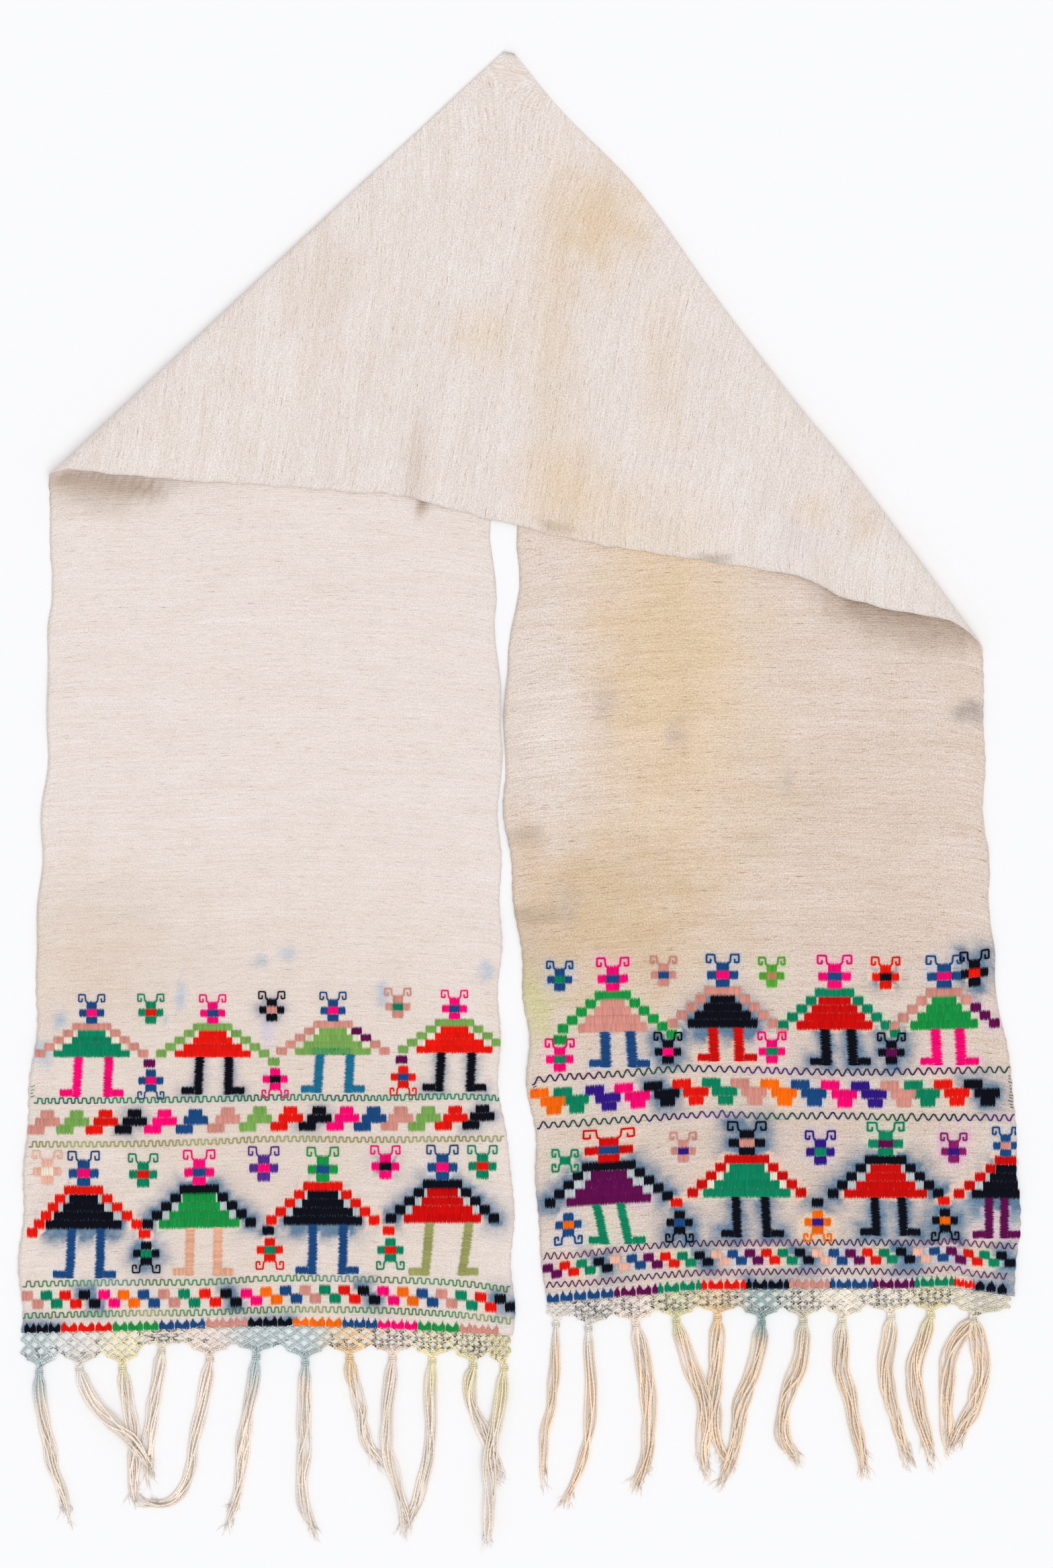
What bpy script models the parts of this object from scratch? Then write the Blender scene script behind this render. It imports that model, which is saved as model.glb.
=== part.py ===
"""Rushnyk: a long hand-woven towel, folded to a gable and laid flat, with netted headings and tassels.

Metres, +Z up, the towel lying on its underside. The cloth is one sheet. Its left leg runs up from the left
fringe, turns over a slanting fold to the front, crosses as the middle panel, and turns back under a second
slanting fold, from where the right leg runs down to the right fringe.

A place across the cloth is a share of its width: 0 at the outer selvage of both legs, which is also the lower
edge of the middle panel, and 1 at their inner selvage, which is also the peak. A place along a section is a
share of its length: a leg runs from its woven end, 0, to its fold, 1, and the panel from fold to fold.
"""

import bisect
import math
from collections import namedtuple

import bmesh
import bpy
from mathutils import Vector

CLOTH_THICKNESS = 0.0012
LAYER_GAP = 0.0008
PIECE_GAP = 0.0005

COLUMNS = 14
LEG_ROWS = 26
ARC_ROWS = 4
PANEL_STATIONS = (0.0, 0.07, 0.14, 0.21, 0.28, 0.34, 0.382, 0.4, 0.418, 0.46,
                  0.53, 0.6, 0.67, 0.74, 0.81, 0.87, 0.94, 1.0)

# The folds, each from its outer corner to the peak. A fold's roll is tight at the peak and opens to a tube.
Fold = namedtuple("Fold", "outer peak roll_at_outer roll_at_peak opening")
LEFT_FOLD = Fold(Vector((-0.377, 0.7066)), Vector((-0.0045, 1.0485)), 0.0085, 0.001, 1.4)
RIGHT_FOLD = Fold(Vector((0.388, 0.568)), Vector((0.0045, 1.0465)), 0.009, 0.001, 1.4)
ROLL_FADE = 0.11  # how far in from a fold the panel takes to settle on the legs

# The right fold bows out a little along its length, counted from the peak.
Bow = namedtuple("Bow", "along out")
RIGHT_FOLD_BOW = (Bow(0.0, 0.0), Bow(0.1, 0.001), Bow(0.24, 0.010), Bow(0.42, 0.0055),
                  Bow(0.6, 0.0036), Bow(0.72, 0.0052), Bow(0.86, 0.0032), Bow(1.0, 0.0))

# Where each leg's selvages run, at heights above the left end's lowest corner.
LegStation = namedtuple("LegStation", "height outer inner")
LEFT_LEG = (
    LegStation(0.000, -0.4003, 0.0025),
    LegStation(0.060, -0.3995, 0.0035),
    LegStation(0.125, -0.3975, 0.0022),
    LegStation(0.155, -0.3960, -0.0020),
    LegStation(0.190, -0.3920, -0.0062),
    LegStation(0.234, -0.3895, -0.0090),
    LegStation(0.267, -0.3862, -0.0085),
    LegStation(0.322, -0.3860, -0.0060),
    LegStation(0.366, -0.3845, -0.0080),
    LegStation(0.455, -0.3790, -0.0070),
    LegStation(0.520, -0.3780, -0.0068),
    LegStation(0.590, -0.3760, -0.0115),
    LegStation(0.652, -0.3750, -0.0140),
    LegStation(0.710, -0.3770, -0.0140),
    LegStation(1.050, -0.3770, -0.0045),
)
RIGHT_LEG = (
    LegStation(0.024, 0.4115, 0.0300),
    LegStation(0.060, 0.4175, 0.0285),
    LegStation(0.100, 0.4175, 0.0225),
    LegStation(0.157, 0.4145, 0.0215),
    LegStation(0.205, 0.4135, 0.0160),
    LegStation(0.240, 0.4045, 0.0148),
    LegStation(0.267, 0.4005, 0.0125),
    LegStation(0.300, 0.3985, 0.0118),
    LegStation(0.340, 0.3940, 0.0060),
    LegStation(0.377, 0.3920, 0.0010),
    LegStation(0.452, 0.3890, -0.0035),
    LegStation(0.520, 0.3885, -0.0033),
    LegStation(0.597, 0.3880, 0.0055),
    LegStation(0.657, 0.3880, 0.0080),
    LegStation(1.050, 0.3880, 0.0045),
)

# The woven ends, from the outer selvage to the inner one.
EndStation = namedtuple("EndStation", "share height")
LEFT_END = (EndStation(0.0, -0.0003), EndStation(0.25, 0.0017), EndStation(0.5, 0.0052),
            EndStation(0.75, 0.0030), EndStation(1.0, -0.0026))
RIGHT_END = (EndStation(0.0, 0.0310), EndStation(0.08, 0.0350), EndStation(0.3, 0.0365),
             EndStation(0.6, 0.0365), EndStation(0.8, 0.0335), EndStation(1.0, 0.0245))

# The lower edge of the middle panel, which sags to the right of its pleat.
EdgeStation = namedtuple("EdgeStation", "across height")
PANEL_EDGE = (
    EdgeStation(-0.3770, 0.7066), EdgeStation(-0.2530, 0.6970), EdgeStation(-0.1200, 0.6875),
    EdgeStation(-0.0825, 0.6836), EdgeStation(-0.0140, 0.6655), EdgeStation(0.0550, 0.6490),
    EdgeStation(0.1320, 0.6360), EdgeStation(0.2420, 0.6177), EdgeStation(0.2700, 0.6030),
    EdgeStation(0.3135, 0.5910), EdgeStation(0.3520, 0.5840), EdgeStation(0.3880, 0.5680),
)
PLEAT_ALONG, PLEAT_WIDTH, PLEAT_HEIGHT, PLEAT_REACH = 0.4, 0.013, 0.0045, 0.34

# The selvages wave slightly, and lift off the surface in places.
WAVE_LENGTH, WAVE_DEPTH = 0.074, 0.0013
SLOW_WAVE_LENGTH, SLOW_WAVE_DEPTH = 0.121, 0.0010
SELVAGE_SHARE = 0.12
COCKLE_HEIGHT, COCKLE_LENGTH = 0.0011, 0.093
COCKLES_END, COCKLES_FADE = 0.61, 0.05  # the panel holds the legs flat above this height

# The pucker by the right end's outer corner: a short ridge, slanting in and up from the end.
PUCKER_FOOT, PUCKER_TOP = Vector((0.378, 0.050)), Vector((0.340, 0.086))
PUCKER_WIDTH, PUCKER_HEIGHT = 0.010, 0.0045

# The netted heading: diamonds of knotted yarn that narrow to one point over each tassel.
NET_THICKNESS, KNOT_HEIGHT = 0.0016, 0.0028
NET_ROW_DROP = (0.0, 0.34, 0.60, 0.80, 1.0)  # share of the way down to the tassel's head, by row of knots
NET_POINTS = 3  # diamonds across one tassel's width of heading
NET_TIP_WIDTH = 0.006
NET_INSET = 0.002  # how far the netting stops short of each selvage
SMALLEST_CUT_HOLE = 0.004

# The tassels. x and y place the head. Leans are in degrees from straight down, positive to the right, at the
# head, a third and two thirds of the way along, and the tip. mesh is how open the net above hangs, from 0.
Tassel = namedtuple("Tassel", "x y mesh length strands lift top upper lower tip")
LEFT_TASSELS = (
    Tassel(-0.3845, -0.0325, 0.44, 0.124, 5, 0, -3, 11, 12, 20),
    Tassel(-0.3515, -0.0303, 0.0, 0.096, 6, 1, 12, 45, 50, 25),
    Tassel(-0.3163, -0.0297, 0.0, 0.110, 6, 0, 10, 8, -4, 2),
    Tassel(-0.2844, -0.0154, 0.0, 0.106, 6, 0, -8, -7, 2, 0),
    Tassel(-0.2448, -0.0220, 0.44, 0.139, 6, 0, -8, -11, -10, -85),
    Tassel(-0.2068, -0.0198, 0.62, 0.140, 6, 0, -5, -10, -7, -20),
    Tassel(-0.1667, -0.0248, 0.62, 0.138, 6, 0, -1, 0, -8, 28),
    Tassel(-0.1304, -0.0215, 0.44, 0.083, 6, 0, 2, 14, 10, 12),
    Tassel(-0.0952, -0.0215, 0.52, 0.142, 6, 0, -6, -3, 8, 8),
    Tassel(-0.0627, -0.0237, 0.44, 0.136, 6, 0, -3, -1, -8, -12),
    Tassel(-0.0292, -0.0275, 0.0, 0.053, 6, 0, -16, 4, 24, 26),
    Tassel(-0.0039, -0.0292, 0.0, 0.140, 6, 0, -2, -13, -3, -8),
)
RIGHT_TASSELS = (
    Tassel(0.0385, 0.0066, 0.44, 0.129, 4, 0, 0, -5, -12, 12),
    Tassel(0.0650, 0.0033, 0.44, 0.142, 5, 0, 2, 4, -14, -30),
    Tassel(0.1040, 0.0055, 0.0, 0.129, 6, 0, 14, 5, 0, -26),
    Tassel(0.1370, 0.0088, 0.0, 0.121, 6, 0, 17, 19, -4, 0),
    Tassel(0.1710, 0.0121, 0.0, 0.118, 6, 0, -1, -3, 0, 6),
    Tassel(0.2068, 0.0083, 0.62, 0.126, 6, 0, -2, -22, -10, -4),
    Tassel(0.2410, 0.0088, 0.44, 0.113, 6, 0, -1, -24, -2, 45),
    Tassel(0.2728, 0.0088, 0.52, 0.121, 6, 0, -2, 8, 13, 20),
    Tassel(0.3130, 0.0127, 0.44, 0.121, 6, 0, -10, 4, 14, 26),
    Tassel(0.3454, 0.0138, 0.44, 0.115, 6, 0, -20, -6, 8, 16),
    Tassel(0.3800, 0.0108, 0.44, 0.107, 6, 0, -48, -14, 2, 8),
    Tassel(0.3800, 0.0108, 0.44, 0.104, 6, 0, 22, -2, -10, -8),
)
HEAD_ACROSS, HEAD_ALONG, HEAD_HEIGHT = 0.0072, 0.0080, 0.0050
STRAND_BASE, STRAND_HEIGHT, STRAND_STEPS = 0.0021, 0.0018, 6
STRAND_PITCH, TIER_RISE = 0.0025, 0.0021
STRAND_PLACES = (  # across in pitches, then the tier it lies in
    (-1.5, 0), (1.5, 0), (-0.5, 0), (0.5, 0), (-0.6, 1), (0.6, 1))
ROOT_SHARE = 0.14  # of a strand's length, over which it comes out of the head
ROOT_SCALE, TIP_SCALE = 0.4, 0.6
ROOT_HEIGHT = 0.3  # of the head's height, where the strands start inside it
UNEVEN_ENDS, GOLDEN_STEP = 0.10, 0.618  # the strands' lengths differ, without a visible order
CROSSING_LIFT, CROSSING_LIFTED_BY = 0.0043, 0.5  # a tassel that lies over another rises by mid-length

CLOTH_COLOUR = (0.75, 0.68, 0.60, 1.0)
YARN_COLOUR = (0.76, 0.62, 0.46, 1.0)


def ease(value):
    """0 to 1 as the value goes from 0 to 1, starting and ending level."""
    value = min(max(value, 0.0), 1.0)
    return value * value * (3.0 - 2.0 * value)


def curve_through(rows, key, column, at):
    """The named column at a place along the key column, on a smooth curve through the table's rows."""
    keys = [getattr(row, key) for row in rows]
    values = [getattr(row, column) for row in rows]
    last = len(rows) - 1
    at = min(max(at, keys[0]), keys[last])
    here = min(bisect.bisect_right(keys, at) - 1, last - 1)

    def slope(index):
        low, high = max(index - 1, 0), min(index + 1, last)
        return (values[high] - values[low]) / (keys[high] - keys[low])

    span = keys[here + 1] - keys[here]
    t = (at - keys[here]) / span
    start, end = values[here], values[here + 1]
    return (
        (2 * t**3 - 3 * t**2 + 1) * start
        + (t**3 - 2 * t**2 + t) * span * slope(here)
        + (3 * t**2 - 2 * t**3) * end
        + (t**3 - t**2) * span * slope(here + 1)
    )


def inward(fold):
    """The unit vector square to a fold line, from the fold towards the inside of the gable."""
    run = (fold.outer - fold.peak).normalized()
    normal = Vector((-run.y, run.x))
    return normal if normal.dot(Vector((0.0, -1.0))) > 0 else -normal


def fold_point(fold, share):
    """Where the warp at a share of the width crosses a fold line, before the cloth gets its roll."""
    point = fold.outer.lerp(fold.peak, share)
    if fold is RIGHT_FOLD:
        point -= inward(fold) * curve_through(RIGHT_FOLD_BOW, "along", "out", 1.0 - share)
    return point


def roll_radius(fold, share):
    """The radius of the cloth's middle surface where it turns over a fold."""
    return fold.roll_at_peak + (fold.roll_at_outer - fold.roll_at_peak) * (1.0 - share) ** fold.opening


def selvage_wave(height):
    """How far a selvage strays sideways."""
    quick = WAVE_DEPTH * math.sin(math.tau * height / WAVE_LENGTH)
    return quick + SLOW_WAVE_DEPTH * math.sin(math.tau * height / SLOW_WAVE_LENGTH + 1.3)


def near_selvage(share):
    """1 on a selvage, 0 away from both."""
    return 1.0 - ease(min(share, 1.0 - share) / SELVAGE_SHARE)


def leg_place(stations, end, fold, share, along):
    """The place of a leg's point on the plan, before the fold's roll."""
    foot = curve_through(end, "share", "height", share)
    top = fold_point(fold, share)
    height = foot + (top.y - foot) * along

    def across(at):
        outer = curve_through(stations, "height", "outer", at)
        return outer + (curve_through(stations, "height", "inner", at) - outer) * share

    x = across(height) + (top.x - across(top.y)) * along**4
    return Vector((x + selvage_wave(height) * near_selvage(share) * (1.0 - along**8), height))


def panel_place(share, along):
    """The place of a point of the middle panel on the plan, before the folds' roll."""
    x = LEFT_FOLD.outer.x + (RIGHT_FOLD.outer.x - LEFT_FOLD.outer.x) * along
    edge = Vector((x, curve_through(PANEL_EDGE, "across", "height", x)))
    place = edge.lerp(LEFT_FOLD.peak.lerp(RIGHT_FOLD.peak, along), share)
    bow = fold_point(RIGHT_FOLD, share) - RIGHT_FOLD.outer.lerp(RIGHT_FOLD.peak, share)
    return place + bow * along**2


def roll(fold, share, place, before):
    """The inward shift and the rise that a fold's roll gives a point, before or after the fold line."""
    radius = roll_radius(fold, share)
    distance = (place - fold_point(fold, share)).dot(inward(fold))
    reach = radius * math.pi / 2
    if distance >= reach:
        settled = ease((distance - reach) / ROLL_FADE)
        extra = 2 * radius - (CLOTH_THICKNESS + LAYER_GAP)
        return 0.0, 0.0 if before else extra * (1.0 - settled)
    turn = math.pi / 2 + (-distance if before else distance) / radius
    rise = radius * (1.0 - math.cos(turn))
    if not before:
        rise -= CLOTH_THICKNESS + LAYER_GAP
    return reach - radius * math.sin(turn) - distance, rise


def cockle(share, height):
    """How far a leg's selvage lifts off the surface."""
    free = ease((COCKLES_END - height) / COCKLES_FADE)
    return COCKLE_HEIGHT * free * near_selvage(share) * math.sin(math.pi * height / COCKLE_LENGTH) ** 2


def ridge(place, foot, top, width):
    """1 on the line from foot to top, falling to 0 at a few widths from it."""
    run = top - foot
    nearest = foot + run * min(max((place - foot).dot(run) / run.length_squared, 0.0), 1.0)
    return math.exp(-(((place - nearest).length / width) ** 2))


def leg_point(stations, end, fold, share, along):
    """A point of a leg's middle surface."""
    place = leg_place(stations, end, fold, share, along)
    shift, rise = roll(fold, share, place, before=True)
    lift = cockle(share, place.y)
    if fold is RIGHT_FOLD:
        lift += PUCKER_HEIGHT * ridge(place, PUCKER_FOOT, PUCKER_TOP, PUCKER_WIDTH)
    place = place + inward(fold) * shift
    return Vector((place.x, place.y, CLOTH_THICKNESS / 2 + rise + lift))


def panel_point(share, along):
    """A point of the middle panel's middle surface."""
    place = panel_place(share, along)
    height = CLOTH_THICKNESS / 2 + CLOTH_THICKNESS + LAYER_GAP
    moved = Vector(place)
    for fold in (LEFT_FOLD, RIGHT_FOLD):
        shift, rise = roll(fold, share, place, before=False)
        moved += inward(fold) * shift
        height += rise
    pleat = math.exp(-(((along - PLEAT_ALONG) / PLEAT_WIDTH) ** 2)) * (1.0 - ease(share / PLEAT_REACH))
    return Vector((moved.x, moved.y, height + PLEAT_HEIGHT * pleat))


def roll_span(fold, share, place_at):
    """The share of a section's length that its half of the roll takes, counted from the fold."""
    probe = 0.02
    per_share = abs((place_at(probe) - place_at(0.0)).dot(inward(fold))) / probe
    return roll_radius(fold, share) * math.pi / 2 / per_share


def column_points(share):
    """One warp line of the cloth, from the left woven end to the right one."""

    def leg(stations, end, fold):
        def place_at(back):
            return leg_place(stations, end, fold, share, 1.0 - back)

        span = roll_span(fold, share, place_at)
        alongs = [(1.0 - span) * row / LEG_ROWS for row in range(LEG_ROWS + 1)]
        alongs += [1.0 - span * (1.0 - row / ARC_ROWS) for row in range(1, ARC_ROWS + 1)]
        return [leg_point(stations, end, fold, share, along) for along in alongs]

    first = roll_span(LEFT_FOLD, share, lambda along: panel_place(share, along))
    last = roll_span(RIGHT_FOLD, share, lambda back: panel_place(share, 1.0 - back))
    alongs = [first * row / ARC_ROWS for row in range(1, ARC_ROWS)]
    alongs += [first + (1.0 - last - first) * station for station in PANEL_STATIONS]
    alongs += [1.0 - last * (1.0 - row / ARC_ROWS) for row in range(1, ARC_ROWS)]
    panel = [panel_point(share, along) for along in alongs]
    left = leg(LEFT_LEG, LEFT_END, LEFT_FOLD)
    right = leg(RIGHT_LEG, RIGHT_END, RIGHT_FOLD)
    return left + panel + right[::-1]


def material(name, colour, roughness):
    """A plain Principled material."""
    made = bpy.data.materials.new(name)
    made.use_nodes = True
    shader = made.node_tree.nodes["Principled BSDF"]
    shader.inputs["Base Color"].default_value = colour
    shader.inputs["Roughness"].default_value = roughness
    shader.inputs["Metallic"].default_value = 0.0
    return made


def add_object(name, shape, collection, finish=None):
    """Turns a bmesh into a named object."""
    mesh = bpy.data.meshes.new(name)
    shape.to_mesh(mesh)
    shape.free()
    if finish:
        mesh.materials.append(finish)
    made = bpy.data.objects.new(name, mesh)
    collection.objects.link(made)
    return made


def make_cloth(collection, finish):
    """The one sheet of cloth, over both folds."""
    columns = [column_points(column / COLUMNS) for column in range(COLUMNS + 1)]
    rows = len(columns[0])
    sheet = bmesh.new()
    bmesh.ops.create_grid(sheet, x_segments=COLUMNS, y_segments=rows - 1, size=0.5)
    for vertex in sheet.verts:
        column = round((vertex.co.x + 0.5) * COLUMNS)
        row = round((vertex.co.y + 0.5) * (rows - 1))
        vertex.co = columns[column][row]
    cloth = add_object("cloth", sheet, collection, finish)
    thickness = cloth.modifiers.new("thickness", "SOLIDIFY")
    thickness.thickness = CLOTH_THICKNESS
    thickness.offset = 0.0
    thickness.use_even_offset = True
    for face in cloth.data.polygons:
        face.use_smooth = True
    return cloth


def end_edge(stations, end, x):
    """The height of a woven end at a place across, on the straight runs between the cloth's warp lines."""
    outer = stations[0].outer
    inner = stations[0].inner
    place = min(max((x - outer) / (inner - outer), 0.0), 1.0) * COLUMNS
    column = min(int(place), COLUMNS - 1)
    low = curve_through(end, "share", "height", column / COLUMNS)
    high = curve_through(end, "share", "height", (column + 1) / COLUMNS)
    return low + (high - low) * (place - column)


def net_knots(stations, end, heads):
    """The places of one heading's knots, by tassel, row and place across. Two tassels share a bound's knots."""
    edges = sorted((stations[0].outer, stations[0].inner))
    middles = [(a.x + b.x) / 2 for a, b in zip(heads, heads[1:])]
    bounds = [edges[0] + NET_INSET, *middles, edges[1] - NET_INSET]

    def knot(tassel, row, place):
        head = heads[tassel]
        low, high = bounds[tassel], bounds[tassel + 1]
        x = low + (high - low) * place / NET_POINTS
        drop = NET_ROW_DROP[row]
        if row >= 3:
            pull = (drop - NET_ROW_DROP[2]) / (1.0 - NET_ROW_DROP[2])
            x += (head.x + (place - NET_POINTS / 2) * NET_TIP_WIDTH / NET_POINTS - x) * pull
        beside = tassel + (place == NET_POINTS) - (place == 0)
        other = heads[min(max(beside, 0), len(heads) - 1)]
        top = end_edge(stations, end, x) - PIECE_GAP
        bottom = (head.y + other.y) / 2 + HEAD_ALONG / 2 + PIECE_GAP
        return Vector((x, top + (bottom - top) * drop))

    return knot


def make_net(name, stations, end, tassels, collection, finish):
    """A netted heading: one flat strip of diamonds between the woven end and the tassels."""
    heads = list(dict.fromkeys((t.x, t.y) for t in tassels))
    heads = [next(t for t in tassels if (t.x, t.y) == head) for head in heads]
    knot = net_knots(stations, end, heads)
    net = bmesh.new()
    made = {}

    def vertex(place, height):
        key = (round(place.x, 6), round(place.y, 6))
        if key not in made:
            made[key] = (net.verts.new((place.x, place.y, 0.0)), height)
        return made[key][0]

    def diamond(tassel, row, place, openness):
        """One mesh of the net, by its middle."""
        corners = [knot(tassel, row - 1, place), knot(tassel, row, place + 0.5),
                   knot(tassel, row + 1, place), knot(tassel, row, place - 0.5)]
        outer = [vertex(corner, KNOT_HEIGHT) for corner in corners]
        hole = min((corners[1] - corners[3]).length, (corners[0] - corners[2]).length) * openness
        if hole < SMALLEST_CUT_HOLE:
            net.faces.new(outer)
            return
        middle = sum(corners, Vector((0.0, 0.0))) / 4
        inner = [vertex(middle.lerp(corner, openness), NET_THICKNESS) for corner in corners]
        for side in range(4):
            after = (side + 1) % 4
            net.faces.new((outer[side], outer[after], inner[after], inner[side]))

    for tassel in range(len(heads)):
        openness = heads[tassel].mesh
        for place in (0.5, 1.5, 2.5):
            diamond(tassel, 1, place, openness)
        for place in (1.0, 2.0):
            diamond(tassel, 2, place, openness)
        diamond(tassel, 3, 1.5, openness)
        # Half meshes along the woven end, and over the bound to the next tassel.
        for place in (1.0, 2.0):
            corners = knot(tassel, 0, place - 0.5), knot(tassel, 1, place), knot(tassel, 0, place + 0.5)
            net.faces.new([vertex(corner, NET_THICKNESS) for corner in corners])
        if tassel + 1 < len(heads):
            corners = knot(tassel, 0, 2.5), knot(tassel, 1, 3.0), knot(tassel + 1, 0, 0.5)
            net.faces.new([vertex(corner, NET_THICKNESS) for corner in corners])
    for tassel, outside, inside in ((0, 0.0, 0.5), (len(heads) - 1, 3.0, 2.5)):
        corners = knot(tassel, 0, outside), knot(tassel, 1, outside), knot(tassel, 0, inside)
        net.faces.new([vertex(corner, NET_THICKNESS) for corner in corners])

    bmesh.ops.recalc_face_normals(net, faces=net.faces)
    heights = dict(made.values())
    by_place = {tuple(v.co): height for v, height in heights.items()}
    grown = bmesh.ops.extrude_face_region(net, geom=list(net.faces), use_keep_orig=True)
    for item in grown["geom"]:
        if isinstance(item, bmesh.types.BMVert):
            item.co.z = by_place[tuple(item.co)]
    bmesh.ops.recalc_face_normals(net, faces=net.faces)
    return add_object(name, net, collection, finish)


def strand_path(tassel, length, steps):
    """Places along a strand's middle line, with its lean in radians at each."""
    leans = [math.radians(lean) for lean in (tassel.top, tassel.upper, tassel.lower, tassel.tip)]
    fine = 8
    place, path = Vector((tassel.x, tassel.y)), []
    for step in range(steps * fine + 1):
        third = 3 * (length / tassel.length) * step / (steps * fine)
        low = min(int(third), 2)
        lean = leans[low] + (leans[low + 1] - leans[low]) * (third - low)
        if step % fine == 0:
            path.append((Vector(place), lean))
        place += Vector((math.sin(lean), -math.cos(lean))) * length / (steps * fine)
    return path


def add_strand(locks, tassel, number):
    """One strand: a three-sided loft that comes out of the head, lies on the surface and tapers to its tip."""
    across, tier = STRAND_PLACES[number]
    length = tassel.length * (1.0 - UNEVEN_ENDS * (number * GOLDEN_STEP % 1.0))
    rings = []
    for step, (place, lean) in enumerate(strand_path(tassel, length, STRAND_STEPS)):
        along = step / STRAND_STEPS
        out = ease(along / ROOT_SHARE)
        scale = (ROOT_SCALE + (1.0 - ROOT_SCALE) * out) * (1.0 - (1.0 - TIP_SCALE) * ease(along * 3 - 2))
        side = Vector((math.cos(lean), math.sin(lean)))
        middle = place + side * across * STRAND_PITCH * (ROOT_SCALE + (1.0 - ROOT_SCALE) * out)
        floor = tier * TIER_RISE * (ROOT_SCALE + (1.0 - ROOT_SCALE) * out) + HEAD_HEIGHT * ROOT_HEIGHT * (1.0 - out)
        floor += tassel.lift * CROSSING_LIFT * ease(along / CROSSING_LIFTED_BY)
        half = STRAND_BASE / 2 * scale
        rings.append([
            locks.verts.new((*(middle - side * half), floor)),
            locks.verts.new((*(middle + side * half), floor)),
            locks.verts.new((*middle, floor + STRAND_HEIGHT * scale)),
        ])
    for ring, after in zip(rings, rings[1:]):
        for corner in range(3):
            turn = (corner + 1) % 3
            locks.faces.new((ring[corner], ring[turn], after[turn], after[corner]))
    locks.faces.new(rings[0])
    locks.faces.new(rings[-1])


def make_tassel(name, bundles, collection, guides, finish):
    """A tassel: its knotted head, with the strands of one or two bundles grown from it."""
    first = bundles[0]
    head = bmesh.new()
    bmesh.ops.create_uvsphere(head, u_segments=8, v_segments=5, radius=0.5)
    for vertex in head.verts:
        vertex.co = Vector((
            first.x + vertex.co.x * HEAD_ACROSS,
            first.y + vertex.co.y * HEAD_ALONG,
            HEAD_HEIGHT / 2 + vertex.co.z * HEAD_HEIGHT,
        ))
    made = add_object(name, head, collection, finish)
    for order, tassel in enumerate(bundles):
        locks = bmesh.new()
        for number in range(tassel.strands):
            add_strand(locks, tassel, number)
        bmesh.ops.recalc_face_normals(locks, faces=locks.faces)
        guide = add_object(f"{name}_locks_{order}", locks, guides)
        guide.hide_render = True
        guide.display_type = "WIRE"
        join = made.modifiers.new(f"locks {order}", "BOOLEAN")
        join.operation = "UNION"
        join.use_self = True
        join.object = guide
    return made


def make_tassels(side, tassels, collection, guides, finish):
    """All the tassels of one end. Two bundles in one place share a head."""
    heads = list(dict.fromkeys((t.x, t.y) for t in tassels))
    for order, head in enumerate(heads, start=1):
        bundles = [t for t in tassels if (t.x, t.y) == head]
        make_tassel(f"tassel_{side}_{order:02d}", bundles, collection, guides, finish)


def set_down(*collections):
    """Moves everything so that the origin is under the middle of the towel, on the surface it lies on."""
    bpy.context.view_layer.update()
    graph = bpy.context.evaluated_depsgraph_get()
    corners = []
    for made in collections[0].objects:
        evaluated = made.evaluated_get(graph)
        corners += [evaluated.matrix_world @ Vector(corner) for corner in evaluated.bound_box]
    low = Vector(min(corner[axis] for corner in corners) for axis in range(3))
    high = Vector(max(corner[axis] for corner in corners) for axis in range(3))
    middle = Vector(((low.x + high.x) / 2, (low.y + high.y) / 2, low.z))
    for collection in collections:
        for made in collection.objects:
            made.location -= middle


def main():
    """Builds the rushnyk."""
    for old in list(bpy.data.objects):
        bpy.data.objects.remove(old)
    rushnyk = bpy.data.collections.new("rushnyk")
    guides = bpy.data.collections.new("guides")
    for collection in (rushnyk, guides):
        bpy.context.scene.collection.children.link(collection)
    cloth_finish = material("homespun cloth", CLOTH_COLOUR, 0.9)
    yarn_finish = material("fringe yarn", YARN_COLOUR, 0.9)
    make_cloth(rushnyk, cloth_finish)
    make_net("net_left", LEFT_LEG, LEFT_END, LEFT_TASSELS, rushnyk, yarn_finish)
    make_net("net_right", RIGHT_LEG, RIGHT_END, RIGHT_TASSELS, rushnyk, yarn_finish)
    make_tassels("left", LEFT_TASSELS, rushnyk, guides, yarn_finish)
    make_tassels("right", RIGHT_TASSELS, rushnyk, guides, yarn_finish)
    set_down(rushnyk, guides)


main()
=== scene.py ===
"""The rushnyk's looks: folded homespun cloth, counted-thread embroidery, netted headings and tassels.

Metres, +Z up. The plan of the towel is in millimetres, from the foot of the left leg's outer selvage upwards
and from midway between the two legs across. Plan.shift, worked out from the cloth's own solid, sets the plan
down on the frame. A share of the cloth's width is 0 at the outer selvage of both legs, which is also the
middle panel's lower edge, and 1 at their inner selvage, which is also the peak.
"""

import bisect
import logging
import math
import random
from dataclasses import dataclass, field
from enum import Enum
from functools import cached_property, partial
from typing import Any, Callable, Iterable, Protocol, Sequence

import bpy
import numpy as np
from mathutils import Matrix, Vector, noise
from mathutils.bvhtree import BVHTree


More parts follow.
